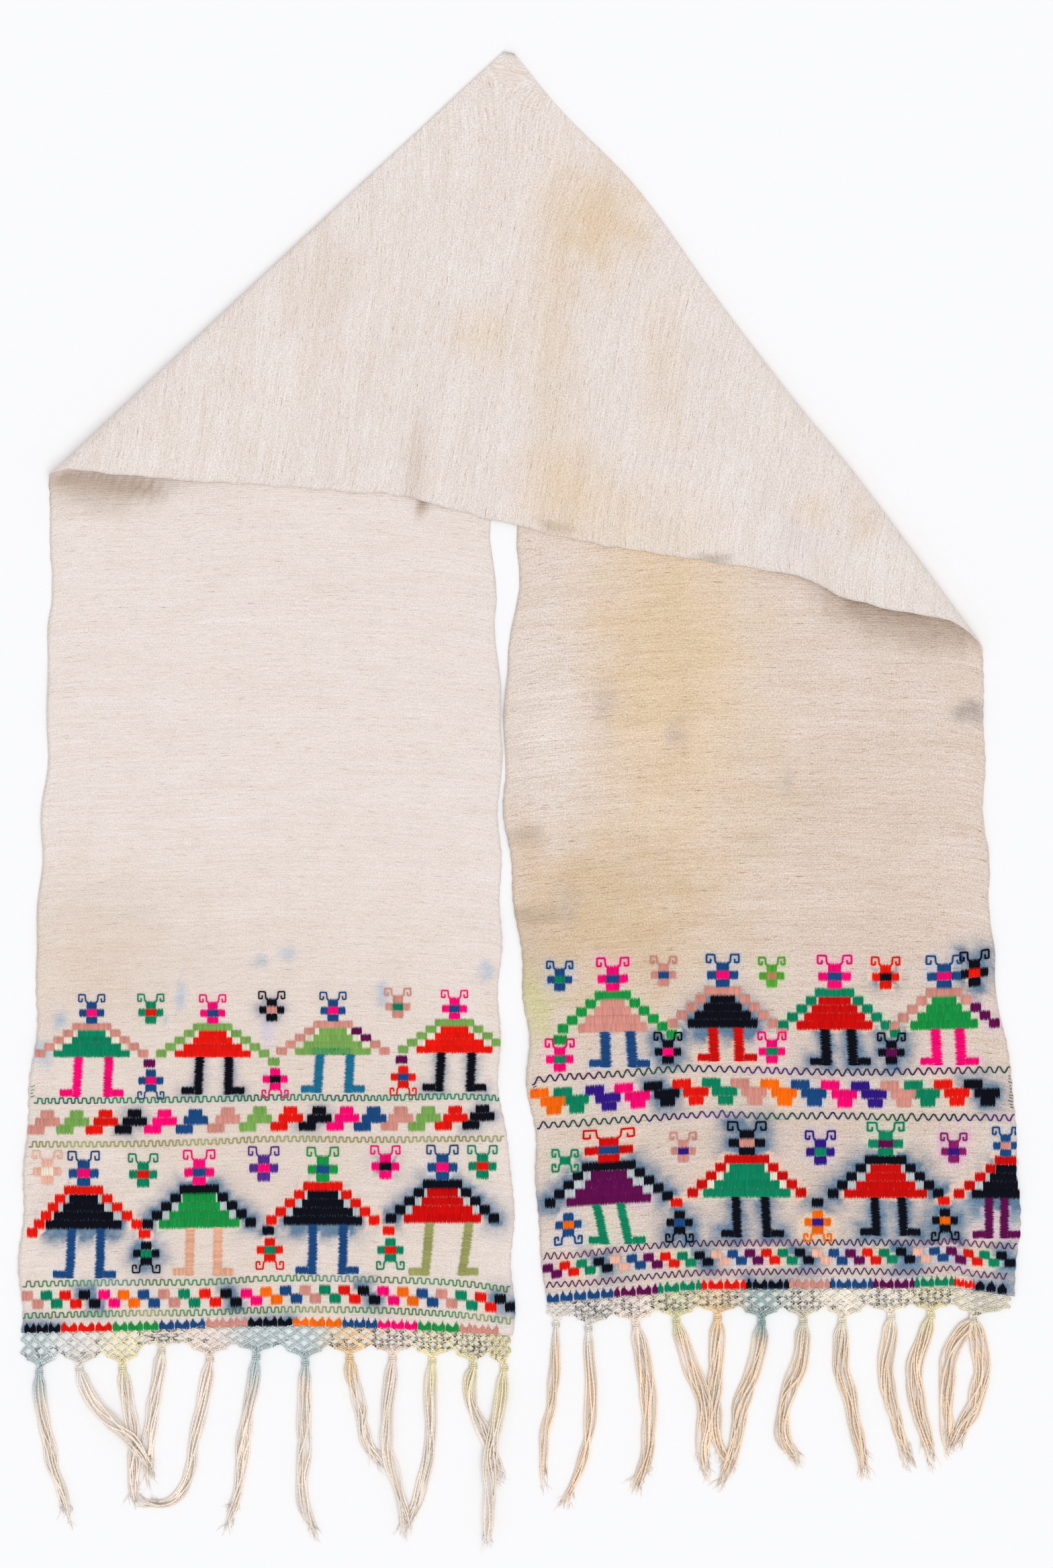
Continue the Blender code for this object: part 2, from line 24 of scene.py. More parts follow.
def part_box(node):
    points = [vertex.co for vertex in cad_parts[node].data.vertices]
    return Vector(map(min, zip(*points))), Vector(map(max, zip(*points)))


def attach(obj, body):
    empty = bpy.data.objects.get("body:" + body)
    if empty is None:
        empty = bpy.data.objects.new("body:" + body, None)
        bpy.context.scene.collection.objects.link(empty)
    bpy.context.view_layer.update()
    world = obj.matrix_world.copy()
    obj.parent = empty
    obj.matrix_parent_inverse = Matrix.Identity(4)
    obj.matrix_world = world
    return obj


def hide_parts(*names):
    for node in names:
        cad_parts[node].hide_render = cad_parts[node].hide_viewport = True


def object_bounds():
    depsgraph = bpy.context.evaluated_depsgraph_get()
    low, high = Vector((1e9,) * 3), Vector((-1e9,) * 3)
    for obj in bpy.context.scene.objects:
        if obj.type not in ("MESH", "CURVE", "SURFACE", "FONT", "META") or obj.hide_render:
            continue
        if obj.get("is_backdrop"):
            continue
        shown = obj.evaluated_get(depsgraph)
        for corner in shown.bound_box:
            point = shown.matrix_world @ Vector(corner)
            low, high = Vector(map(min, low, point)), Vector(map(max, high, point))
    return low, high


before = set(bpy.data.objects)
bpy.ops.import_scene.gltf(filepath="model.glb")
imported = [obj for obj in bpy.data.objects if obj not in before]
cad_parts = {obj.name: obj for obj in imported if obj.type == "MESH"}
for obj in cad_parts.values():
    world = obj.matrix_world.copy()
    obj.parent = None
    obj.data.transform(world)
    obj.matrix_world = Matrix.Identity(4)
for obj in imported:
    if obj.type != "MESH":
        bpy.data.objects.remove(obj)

LOG = logging.getLogger("rushnyk")
MM = 0.001
Colour = tuple[float, float, float]
Socket = bpy.types.NodeSocket


# ---------------------------------------------------------------- colours


def linear(colour: Colour) -> Colour:
    """Turns a colour into what the finishes need.

    Args:
        colour: The colour, as sRGB out of 255.

    Returns:
        The colour, as linear light.
    """
    shares = (channel / 255 for channel in colour)
    red, green, blue = (s / 12.92 if s < 0.04045 else ((s + 0.055) / 1.055) ** 2.4 for s in shares)
    return red, green, blue


class Dye(Enum):
    """The wools' colours, as sRGB out of 255."""

    CREAM = (236, 228, 210)
    GREY = (194, 202, 204)
    CRIMSON = (214, 10, 8)
    DUSTY = (219, 153, 140)
    SALMON = (235, 182, 152)
    BLUSH = (243, 192, 172)
    PINK = (252, 3, 124)
    RED = (236, 24, 12)
    ORANGE = (252, 116, 8)
    GREEN = (10, 142, 102)
    LEAF = (26, 158, 74)
    LIGHT_GREEN = (132, 178, 92)
    OLIVE = (170, 172, 106)
    TEAL = (32, 122, 160)
    BLUE = (30, 80, 138)
    NAVY = (38, 42, 92)
    INDIGO = (56, 26, 140)
    VIOLET = (92, 52, 150)
    PURPLE = (106, 12, 84)
    BLACK = (12, 14, 26)
    TAN = (196, 142, 98)
    # The next four colours, and OLIVE, are also laid as painted shade in the valleys between skirt tiers; the
    # second and third of them serve only there.
    DEEP_GREEN = (14, 92, 66)
    RED_SHADE = (172, 18, 14)
    DUSTY_SHADE = (176, 108, 102)
    DEEP_PURPLE = (78, 26, 82)
    PLUM = (128, 58, 112)
    MOSS = (88, 132, 84)
    MIST = (120, 170, 160)
    KHAKI = (160, 156, 92)
    SEA = (34, 148, 112)
    LIME = (90, 175, 60)
    MAGENTA = (150, 30, 112)
    DEEP_SEA = (16, 104, 88)
    FERN = (72, 158, 98)
    PALE_OLIVE = (176, 186, 124)

    @property
    def light(self) -> Colour:
        """The colour as linear light."""
        return linear(self.value)


class Wetting(Enum):
    """How wet a part of the towel got: how far its dyes ran, as a share of their usual reach."""

    SPLASHED = 0.62
    DAMP = 1.0
    WET = 1.1
    SOAKED = 1.35

    @property
    def freely(self) -> bool:
        """Whether every dye ran, and not black alone."""
        return self.value > 1.0


@dataclass(frozen=True)
class Bleed:
    """How a dye has run into the cloth: its colour, its reach in millimetres and its strength."""

    colour: Colour
    reach: float
    strength: float


BLEEDS = {
    Dye.BLACK: Bleed((86, 122, 152), 6.2, 0.94),
    Dye.BLUE: Bleed((176, 198, 226), 2.2, 0.50),
    Dye.TEAL: Bleed((176, 206, 222), 2.0, 0.40),
    Dye.INDIGO: Bleed((186, 180, 222), 2.4, 0.45),
    Dye.VIOLET: Bleed((206, 188, 226), 2.2, 0.40),
    Dye.PURPLE: Bleed((212, 178, 214), 2.4, 0.45),
    Dye.PINK: Bleed((250, 184, 214), 2.2, 0.60),
    Dye.RED: Bleed((250, 196, 168), 2.0, 0.50),
    Dye.CRIMSON: Bleed((246, 190, 164), 2.0, 0.50),
    Dye.ORANGE: Bleed((250, 208, 150), 2.2, 0.50),
    Dye.GREEN: Bleed((178, 222, 190), 2.2, 0.40),
    Dye.LEAF: Bleed((196, 228, 168), 2.2, 0.45),
    Dye.LIGHT_GREEN: Bleed((212, 226, 178), 2.0, 0.30),
    Dye.OLIVE: Bleed((212, 216, 170), 2.0, 0.35),
    Dye.LIME: Bleed((200, 224, 160), 2.2, 0.45),
    Dye.MAGENTA: Bleed((226, 168, 214), 2.4, 0.60),
}


# ---------------------------------------------------------------- curves and folds


class Curve:
    """A smooth curve through a short table of (key, value) rows."""

    def __init__(self, *rows: tuple[float, float]) -> None:
        """Works out the slope at each row.

        Args:
            *rows: The keys with their values, in the order of the keys.
        """
        self.keys = [key for key, _ in rows]
        self.values = [value for _, value in rows]
        last = len(rows) - 1
        spans = [(max(row - 1, 0), min(row + 1, last)) for row in range(len(rows))]
        self.slopes = [
            (self.values[high] - self.values[low]) / (self.keys[high] - self.keys[low]) for low, high in spans
        ]

    def at(self, key: float) -> float:
        """The curve's value at a key.

        Args:
            key: The key.

        Returns:
            The value, held level past both ends.
        """
        key = min(max(key, self.keys[0]), self.keys[-1])
        here = min(bisect.bisect_right(self.keys, key) - 1, len(self.keys) - 2)
        span = self.keys[here + 1] - self.keys[here]
        t = (key - self.keys[here]) / span
        return (
            (2 * t**3 - 3 * t**2 + 1) * self.values[here]
            + (t**3 - 2 * t**2 + t) * span * self.slopes[here]
            + (3 * t**2 - 2 * t**3) * self.values[here + 1]
            + (t**3 - t**2) * span * self.slopes[here + 1]
        )


def ease(value: float) -> float:
    """0 to 1 as the value goes from 0 to 1, starting and ending level."""
    value = min(max(value, 0.0), 1.0)
    return value * value * (3.0 - 2.0 * value)


def ridge(place: Vector, foot: Vector, top: Vector, width: float) -> float:
    """How high a ridge stands at a place.

    Args:
        place: The place.
        foot: Where the ridge starts.
        top: Where it ends.
        width: How far from its line it has fallen to about a third.

    Returns:
        1 on the line from foot to top, falling to 0 at a few widths from it.
    """
    run = top - foot
    nearest = foot + run * min(max((place - foot).dot(run) / run.length_squared, 0.0), 1.0)
    return math.exp(-(((place - nearest).length / width) ** 2))


def soft_noise(place: Vector, scale: float, seed: float) -> float:
    """Smooth unevenness from -1 to 1, with features of about the given size."""
    return noise.noise(Vector((place.x / scale, place.y / scale, seed)))


@dataclass(frozen=True)
class Fold:
    """A slanting fold, tight at the peak and opening to a tube at its outer corner."""

    outer: Vector
    peak: Vector
    roll_at_outer: float
    bow: Curve
    roll_at_peak: float = 0.001
    opening: float = 1.4
    fade: float = 0.11
    settle: float = 0.002

    @cached_property
    def inward(self) -> Vector:
        """The unit vector square to the fold, towards the inside of the gable."""
        run = (self.outer - self.peak).normalized()
        normal = Vector((-run.y, run.x))
        return normal if normal.y < 0 else -normal

    def bowed(self, share: float) -> Vector:
        """How far the fold strays from a straight line."""
        return self.inward * -self.bow.at(1.0 - share)

    def point(self, share: float) -> Vector:
        """Where the warp at a share of the width crosses the fold, before the cloth gets its roll."""
        return self.outer.lerp(self.peak, share) + self.bowed(share)

    def radius(self, share: float) -> float:
        """The radius of the cloth's middle surface where it turns over the fold."""
        return self.roll_at_peak + (self.roll_at_outer - self.roll_at_peak) * (1.0 - share) ** self.opening

    def roll(self, share: float, place: Vector, before: bool) -> tuple[float, float]:
        """The fold's roll at a place.

        Args:
            share: The warp's share of the width.
            place: The place on the plan, before the roll.
            before: True on the leg's side of the fold, False on the panel's.

        Returns:
            How far the roll draws the place inwards, and how far it lifts it.
        """
        radius = self.radius(share)
        distance = (place - self.point(share)).dot(self.inward)
        reach = radius * math.pi / 2
        if distance >= reach:
            settled = ease((distance - reach) / self.fade)
            extra = 2 * radius - self.settle
            return 0.0, 0.0 if before else extra * (1.0 - settled)
        turn = math.pi / 2 + (-distance if before else distance) / radius
        rise = radius * (1.0 - math.cos(turn))
        if not before:
            rise -= self.settle
        return reach - radius * math.sin(turn) - distance, rise

    def span(self, share: float, place_at: Callable[[float], Vector]) -> float:
        """The share of a section's length that its half of the roll takes.

        Args:
            share: The warp's share of the width.
            place_at: The section's place at a share of its length, counted from the fold.

        Returns:
            The share of the length, counted from the fold.
        """
        probe = 0.02
        per_share = abs((place_at(probe) - place_at(0.0)).dot(self.inward)) / probe
        return self.radius(share) * math.pi / 2 / per_share


@dataclass(frozen=True)
class Crease:
    """A soft ridge pressed or puckered into the cloth, from foot to top."""

    foot: Vector
    top: Vector
    width: float
    height: float

    def lift(self, place: Vector) -> float:
        """How far the crease lifts a place."""
        return self.height * ridge(place, self.foot, self.top, self.width)


@dataclass(frozen=True)
class Leg:
    """A leg of the towel, from its woven end up to its fold."""

    outer: Curve
    inner: Curve
    end: Curve
    fold: Fold
    seed: float
    creases: tuple[Crease, ...] = ()
    wave_length: float = 0.074
    wave_depth: float = 0.0013
    slow_length: float = 0.121
    slow_depth: float = 0.0010
    slow_start: float = 1.3
    scallop_length: float = 0.0115
    scallop_depth: float = 0.0004
    scallop_unevenness: float = 0.6
    scallop_grain: float = 90.0
    scallops_to_width: float = 60.0
    selvage_share: float = 0.12
    cockle_height: float = 0.0011
    cockle_length: float = 0.093
    cockles_end: float = 0.61
    cockles_fade: float = 0.05
    swell_height: float = 0.0007
    swell_length: float = 0.055
    swell_level: float = 0.3

    def near_selvage(self, share: float) -> float:
        """1 on a selvage, 0 away from both."""
        return 1.0 - ease(min(share, 1.0 - share) / self.selvage_share)

    def wave(self, height: float) -> float:
        """How far a selvage strays sideways."""
        quick = self.wave_depth * math.sin(math.tau * height / self.wave_length)
        return quick + self.slow_depth * math.sin(math.tau * height / self.slow_length + self.slow_start)

    def scallop(self, share: float, height: float) -> float:
        """The selvage's fine scallops, where the weft turns back.

        Args:
            share: The warp's share of the width.
            height: The height on the plan.

        Returns:
            How far the cloth moves to the right.
        """
        side = -1.0 if share < 0.5 else 1.0
        grain = Vector((height * self.scallop_grain, self.seed, share))
        uneven = 1.0 + self.scallop_unevenness * noise.noise(grain)
        edge = max(0.0, 1.0 - min(share, 1.0 - share) * self.scallops_to_width)
        return side * edge * self.scallop_depth * uneven * math.sin(math.tau * height / self.scallop_length)

    def place(self, share: float, along: float) -> Vector:
        """The plan place of a point of the leg, before the fold's roll.

        Args:
            share: The warp's share of the width.
            along: The share of the leg's length, from its woven end to its fold.

        Returns:
            The place.
        """
        foot = self.end.at(share)
        top = self.fold.point(share)
        height = foot + (top.y - foot) * along

        def across(at: float) -> float:
            """Where the warp is across the plan at a height."""
            outer = self.outer.at(at)
            return outer + (self.inner.at(at) - outer) * share

        x = across(height) + (top.x - across(top.y)) * along**4
        free = self.near_selvage(share) * (1.0 - along**8)
        return Vector((x + self.wave(height) * free, height))

    def lift(self, share: float, place: Vector) -> float:
        """How far the leg's unevenness lifts a point off the surface it lies on.

        Args:
            share: The warp's share of the width.
            place: The point's place on the plan.

        Returns:
            The lift.
        """
        free = ease((self.cockles_end - place.y) / self.cockles_fade)
        cockle = self.cockle_height * self.near_selvage(share)
        cockle *= math.sin(math.pi * place.y / self.cockle_length) ** 2
        uneven = soft_noise(place, self.swell_length, self.seed)
        swell = self.swell_height * max(0.0, self.swell_level + uneven)
        return free * (cockle + swell) + sum(crease.lift(place) for crease in self.creases)

    def point(self, share: float, along: float, half: float) -> Vector:
        """A point of the leg's middle surface.

        Args:
            share: The warp's share of the width.
            along: The share of the leg's length.
            half: Half the cloth's thickness.

        Returns:
            The point, on the plan and up.
        """
        place = self.place(share, along)
        shift, rise = self.fold.roll(share, place, before=True)
        lift = self.lift(share, place)
        place.x += self.scallop(share, place.y)
        place += self.fold.inward * shift
        return Vector((place.x, place.y, half + rise + lift))


@dataclass(frozen=True)
class Panel:
    """The middle panel, which lies over both legs from fold to fold."""

    left: Fold
    right: Fold
    edge: Curve
    pleat_along: float = 0.4
    pleat_width: float = 0.016
    pleat_height: float = 0.0050
    pleat_reach: float = 0.34
    fray: float = 0.0022
    fray_length: float = 0.014
    swell_height: float = 0.0009
    swell_length: float = 0.06
    swell_level: float = 0.4
    swell_from_edge: float = 12.0
    seed: float = 4.7

    def place(self, share: float, along: float) -> Vector:
        """The plan place of a point of the panel, before the folds' roll.

        Args:
            share: The warp's share of the width, from the lower edge to the peak.
            along: The share of the way from the left fold to the right one.

        Returns:
            The place.
        """
        x = self.left.outer.x + (self.right.outer.x - self.left.outer.x) * along
        fray = self.fray * noise.noise(Vector((x / self.fray_length, 0.0, self.seed)))
        edge = Vector((x, self.edge.at(x) + fray))
        place = edge.lerp(self.left.peak.lerp(self.right.peak, along), share)
        return place + self.right.bowed(share) * along**2

    def point(self, share: float, along: float, height: float) -> Vector:
        """A point of the panel's middle surface.

        Args:
            share: The warp's share of the width.
            along: The share of the way from the left fold to the right one.
            height: How high the panel lies where it is flat.

        Returns:
            The point, on the plan and up.
        """
        place = self.place(share, along)
        moved = place.copy()
        for fold in (self.left, self.right):
            shift, rise = fold.roll(share, place, before=False)
            moved += fold.inward * shift
            height += rise
        pleat = math.exp(-(((along - self.pleat_along) / self.pleat_width) ** 2))
        height += self.pleat_height * pleat * (1.0 - ease(share / self.pleat_reach))
        swell = max(0.0, self.swell_level + soft_noise(place, self.swell_length, self.seed))
        height += self.swell_height * swell * ease(share * self.swell_from_edge)
        return Vector((moved.x, moved.y, height))


class Towel:
    """The folded towel's plan: its two legs, its panel and the folds between them."""

    LEFT_FOLD = Fold(
        Vector((-0.377, 0.7066)), Vector((-0.0045, 1.0485)), 0.0085,
        Curve((0.0, 0.0), (1.0, 0.0)),
    )
    RIGHT_FOLD = Fold(
        Vector((0.388, 0.568)), Vector((0.0045, 1.0465)), 0.009,
        Curve((0.0, 0.0), (0.1, 0.001), (0.24, 0.010), (0.42, 0.0055),
              (0.6, 0.0036), (0.72, 0.0052), (0.86, 0.0032), (1.0, 0.0)),
    )
    LEFT_LEG = Leg(
        outer=Curve((0.0, -0.4003), (0.06, -0.3995), (0.125, -0.3975), (0.155, -0.396), (0.19, -0.392),
                    (0.234, -0.3895), (0.267, -0.3862), (0.322, -0.386), (0.366, -0.3845), (0.455, -0.379),
                    (0.52, -0.378), (0.59, -0.376), (0.652, -0.375), (0.71, -0.377), (1.05, -0.377)),
        inner=Curve((0.0, 0.0025), (0.06, 0.0035), (0.125, 0.0022), (0.155, -0.002), (0.19, -0.0062),
                    (0.234, -0.009), (0.267, -0.0085), (0.322, -0.006), (0.366, -0.008), (0.455, -0.007),
                    (0.52, -0.0068), (0.59, -0.0115), (0.652, -0.014), (0.71, -0.014), (1.05, -0.0045)),
        end=Curve((0.0, -0.0003), (0.25, 0.0017), (0.5, 0.0052), (0.75, 0.003), (1.0, -0.0026)),
        fold=LEFT_FOLD,
        seed=1.3,
    )
    RIGHT_LEG = Leg(
        outer=Curve((0.024, 0.4115), (0.06, 0.4175), (0.1, 0.4175), (0.157, 0.4145), (0.205, 0.4135),
                    (0.24, 0.4045), (0.267, 0.4005), (0.3, 0.3985), (0.34, 0.394), (0.377, 0.392),
                    (0.452, 0.389), (0.52, 0.3885), (0.597, 0.388), (0.657, 0.388), (1.05, 0.388)),
        inner=Curve((0.024, 0.03), (0.06, 0.0285), (0.1, 0.0225), (0.157, 0.0215), (0.205, 0.016),
                    (0.24, 0.0148), (0.267, 0.0125), (0.3, 0.0118), (0.34, 0.006), (0.377, 0.001),
                    (0.452, -0.0035), (0.52, -0.0033), (0.597, 0.0055), (0.657, 0.008), (1.05, 0.0045)),
        end=Curve((0.0, 0.0298), (0.067, 0.0338), (0.13, 0.0362), (0.235, 0.0358), (0.4, 0.0356),
                  (0.575, 0.035), (0.69, 0.0334), (0.772, 0.0305), (0.924, 0.0258), (1.0, 0.0237)),
        fold=RIGHT_FOLD,
        seed=8.1,
        creases=(Crease(Vector((0.378, 0.05)), Vector((0.34, 0.086)), 0.010, 0.0045),),
    )
    PANEL = Panel(
        left=LEFT_FOLD,
        right=RIGHT_FOLD,
        edge=Curve((-0.377, 0.7066), (-0.253, 0.697), (-0.12, 0.6875), (-0.0825, 0.6836), (-0.014, 0.6655),
                   (0.055, 0.649), (0.132, 0.636), (0.242, 0.6177), (0.27, 0.603), (0.3135, 0.591),
                   (0.352, 0.584), (0.388, 0.568)),
    )


# ---------------------------------------------------------------- node trees


class Graph:
    """A node tree under construction, for a shader, a shader group or Geometry Nodes."""

    def __init__(self, tree: bpy.types.NodeTree) -> None:
        """Takes the tree that the nodes go into."""
        self.tree = tree

    def add(self, kind: str, inputs: dict[str | int, Any] | None = None, **settings: Any) -> bpy.types.Node:
        """Adds a node.

        Args:
            kind: The node's type name.
            inputs: Its inputs by name or number: a socket to link, or a value to set.
            settings: Its own properties.

        Returns:
            The node.
        """
        node = self.tree.nodes.new(kind)
        for name, value in settings.items():
            setattr(node, name, value)
        for key, value in (inputs or {}).items():
            if isinstance(value, bpy.types.NodeSocket):
                self.tree.links.new(value, node.inputs[key])
            else:
                node.inputs[key].default_value = value
        return node

    def math(self, operation: str, first: Any, second: Any = 0.0) -> Socket:
        """A Math node's value."""
        return self.add("ShaderNodeMath", {0: first, 1: second}, operation=operation).outputs[0]

    def scale(self, vector: Any, factors: Any) -> Socket:
        """A vector or colour with each of its parts multiplied."""
        return self.add("ShaderNodeVectorMath", {0: vector, 1: factors}, operation="MULTIPLY").outputs[0]

    def tint(self, colour: Any, tone: Socket) -> Socket:
        """A colour made lighter or darker by a tone."""
        return self.add("ShaderNodeVectorMath", {0: colour, "Scale": tone}, operation="SCALE").outputs[0]

    def speckle(self, vector: Socket, detail: float = 2.0) -> Socket:
        """Noise about 0, from about -0.5 to 0.5."""
        made = self.add("ShaderNodeTexNoise", {"Vector": vector, "Scale": 1.0, "Detail": detail})
        return self.math("SUBTRACT", made.outputs[0], 0.5)

    def total(self, terms: Iterable[tuple[Any, float]], start: float) -> Socket:
        """Adds up weighted terms.

        Args:
            terms: Each term with its weight.
            start: What the sum starts from.

        Returns:
            The sum.
        """
        result: Any = start
        for term, weight in terms:
            weighted = self.math("MULTIPLY", term, weight)
            result = self.math("ADD", weighted, result)
        return result


class ShaderGroup(Graph):
    """A shader group that takes a place and a contrast, and puts out a tone and a height."""

    def __init__(self, name: str, tone: str) -> None:
        """Makes the group with its sockets.

        Args:
            name: The group's name.
            tone: The kind of socket that puts out the tone.
        """
        super().__init__(bpy.data.node_groups.new(name, "ShaderNodeTree"))
        sockets = (
            ("Place", "INPUT", "NodeSocketVector"), ("Contrast", "INPUT", "NodeSocketFloat"),
            ("Tone", "OUTPUT", tone), ("Height", "OUTPUT", "NodeSocketFloat"),
        )
        for socket, way, kind in sockets:
            self.tree.interface.new_socket(socket, in_out=way, socket_type=kind)
        given = self.add("NodeGroupInput")
        self.place, self.contrast = given.outputs["Place"], given.outputs["Contrast"]

    def finish(self, tone: Socket, height: Socket) -> bpy.types.NodeTree:
        """Links the tone and the height to the group's outputs, and gives the group."""
        self.add("NodeGroupOutput", {"Tone": tone, "Height": height})
        return self.tree


@dataclass(frozen=True)
class Grain:
    """One unevenness of the weave: its features to the metre across and along, and how much it shows."""

    across: float
    along: float
    detail: float = 2.0
    tone: float = 0.0
    height: float = 0.0

    def spread(self, group: ShaderGroup) -> Socket:
        """The unevenness at the group's place, from about -0.5 to 0.5."""
        return group.speckle(group.scale(group.place, (self.across, self.along, 1.0)), self.detail)


@dataclass(frozen=True)
class WeaveGroup:
    """The homespun's weave as a shader group: ribs and streaks of weft, with slubs, dashes and flecks."""

    rib_pitch: float = 0.0019
    rib_wobble: float = 0.0013
    rib_clearness: float = 0.42
    rib_tone: float = 0.03
    rib_height: float = 0.34
    warp_pitch: float = 0.0012
    warp_height: float = 0.08
    dash_level: float = 0.13
    warmth: Colour = (0.74, 1.0, 1.34)
    wobble: Grain = Grain(60.0, 90.0)
    clearness: Grain = Grain(45.0, 60.0)
    slub: Grain = Grain(130.0, 900.0, 3.0, tone=0.21, height=1.0)
    streak: Grain = Grain(9.0, 300.0, 3.0, tone=0.12)
    line: Grain = Grain(24.0, 640.0, tone=0.20, height=0.8)
    bundle: Grain = Grain(5.0, 75.0, tone=0.08)
    cloud: Grain = Grain(22.0, 22.0, 3.0, tone=0.08)
    fleck: Grain = Grain(800.0, 700.0, tone=0.62, height=0.6)
    dash: Grain = Grain(90.0, 1000.0, tone=-2.4, height=-2.0)

    def build(self) -> bpy.types.NodeTree:
        """The group, which takes a place on the flat cloth in metres."""
        group = ShaderGroup("homespun weave", "NodeSocketVector")
        parts = group.add("ShaderNodeSeparateXYZ", {0: group.place})
        wobble = group.math("MULTIPLY", self.wobble.spread(group), self.rib_wobble)
        down = group.math("ADD", parts.outputs["Y"], wobble)
        rib = group.math("SINE", group.math("MULTIPLY", down, math.tau / self.rib_pitch))
        clear = group.math("ADD", self.clearness.spread(group), self.rib_clearness)
        rib = group.math("MULTIPLY", rib, clear)
        warp = group.math("SINE", group.math("MULTIPLY", parts.outputs["X"], math.tau / self.warp_pitch))
        even = (self.slub, self.streak, self.line, self.bundle, self.cloud, self.fleck)
        grains = [(grain, grain.spread(group)) for grain in even]
        dash = group.math("SUBTRACT", self.dash.spread(group), self.dash_level)
        grains.append((self.dash, group.math("MAXIMUM", dash, 0.0)))
        tones = [(spread, grain.tone) for grain, spread in grains]
        shade = group.total([(rib, self.rib_tone), *tones], 0.0)
        shade = group.math("MULTIPLY", shade, group.contrast)
        tone = group.add("ShaderNodeVectorMath", {0: group.tint(self.warmth, shade), 1: (1.0, 1.0, 1.0)})
        heights = [(spread, grain.height) for grain, spread in grains if grain.height]
        height = group.total([(rib, self.rib_height), (warp, self.warp_height), *heights], 0.5)
        return group.finish(tone.outputs[0], height)


@dataclass(frozen=True)
class FibreGroup:
    """Spun fibre as a shader group: fine hairs along the yarn, and a slow change of depth."""

    cloud_scale: float = 0.06
    hair_tone: float = 0.6
    cloud_tone: float = 0.8

    def build(self) -> bpy.types.NodeTree:
        """The group, which takes a place that is already stretched along the yarn."""
        group = ShaderGroup("spun fibre", "NodeSocketFloat")
        hair = group.speckle(group.place)
        cloud = group.speckle(group.scale(group.place, (self.cloud_scale,) * 3))
        shade = group.total([(hair, self.hair_tone), (cloud, self.cloud_tone)], 0.0)
        tone = group.math("ADD", group.math("MULTIPLY", shade, group.contrast), 1.0)
        return group.finish(tone, group.math("ADD", hair, 0.5))


@dataclass(frozen=True, kw_only=True)
class Finish:
    """What both finishes share: how they take light, and how deep their relief is."""

    roughness: float
    sheen: float
    gloss: float
    bump: float
    relief: float

    def coat(self, graph: Graph, colour: Socket, height: Socket) -> None:
        """Gives a material its colour, its relief and the way that it takes light.

        Args:
            graph: The material's nodes.
            colour: Its colour.
            height: Its relief, from about 0 to 1.
        """
        bump = graph.add("ShaderNodeBump", {"Height": height, "Strength": self.bump, "Distance": self.relief})
        shader = graph.tree.nodes["Principled BSDF"]
        graph.tree.links.new(colour, shader.inputs["Base Color"])
        graph.tree.links.new(bump.outputs[0], shader.inputs["Normal"])
        shader.inputs["Roughness"].default_value = self.roughness
        shader.inputs["Sheen Weight"].default_value = self.sheen
        shader.inputs["Specular IOR Level"].default_value = self.gloss


@dataclass(frozen=True, kw_only=True)
class ClothFinish(Finish):
    """Undyed homespun, coloured by its stains, by the shade painted at the folds' mouths and the pleat, and
    by the dyes that ran into it.
    """

    roughness: float = 0.92
    sheen: float = 0.1
    gloss: float = 0.2
    bump: float = 0.8
    relief: float = 0.0006
    raggedness: float = 1.7
    ragged_grain: Colour = (95.0, 95.0, 1.0)
    fine_raggedness: float = 0.5
    fine_grain: Colour = (520.0, 700.0, 1.0)
    falloff: float = 1.3

    def _run(self, graph: Graph, flat: Socket, strength: Socket) -> Socket:
        """How strongly a dye shows where it ran, fading from its stitches to a soft uneven edge.

        Args:
            graph: The material's nodes.
            flat: The place on the flat cloth.
            strength: The dye's strength at its stitches.

        Returns:
            The dye's share of the colour.
        """
        depth = graph.add("ShaderNodeAttribute", attribute_name="run_depth").outputs["Fac"]
        broad = graph.speckle(graph.scale(flat, self.ragged_grain))
        fine = graph.speckle(graph.scale(flat, self.fine_grain))
        strayed = graph.total([(broad, self.raggedness), (fine, self.fine_raggedness)], 0.0)
        reached = graph.math("MAXIMUM", graph.math("ADD", depth, strayed), 0.0)
        fall = graph.math("MULTIPLY", graph.math("POWER", reached, self.falloff), -1.0)
        return graph.math("MULTIPLY", graph.math("EXPONENT", fall), strength)

    def build(self, weave: bpy.types.NodeTree) -> bpy.types.Material:
        """The material.

        Args:
            weave: The weave's shader group, which reads the flat cloth's own map.

        Returns:
            The material.
        """
        made = bpy.data.materials.new("homespun")
        made.use_nodes = True
        graph = Graph(made.node_tree)
        flat = graph.add("ShaderNodeUVMap", uv_map="flat").outputs[0]
        ground = graph.add("ShaderNodeAttribute", attribute_name="colour").outputs["Color"]
        run = graph.add("ShaderNodeAttribute", attribute_name="run")
        share = self._run(graph, flat, run.outputs["Alpha"])
        dyed = graph.add("ShaderNodeMix", {0: share, 6: ground, 7: run.outputs["Color"]}, data_type="RGBA")
        coarse = graph.add("ShaderNodeAttribute", attribute_name="coarseness").outputs["Fac"]
        woven = graph.add("ShaderNodeGroup", {"Place": flat, "Contrast": coarse}, node_tree=weave)
        self.coat(graph, graph.scale(dyed.outputs[2], woven.outputs["Tone"]), woven.outputs["Height"])
        return made


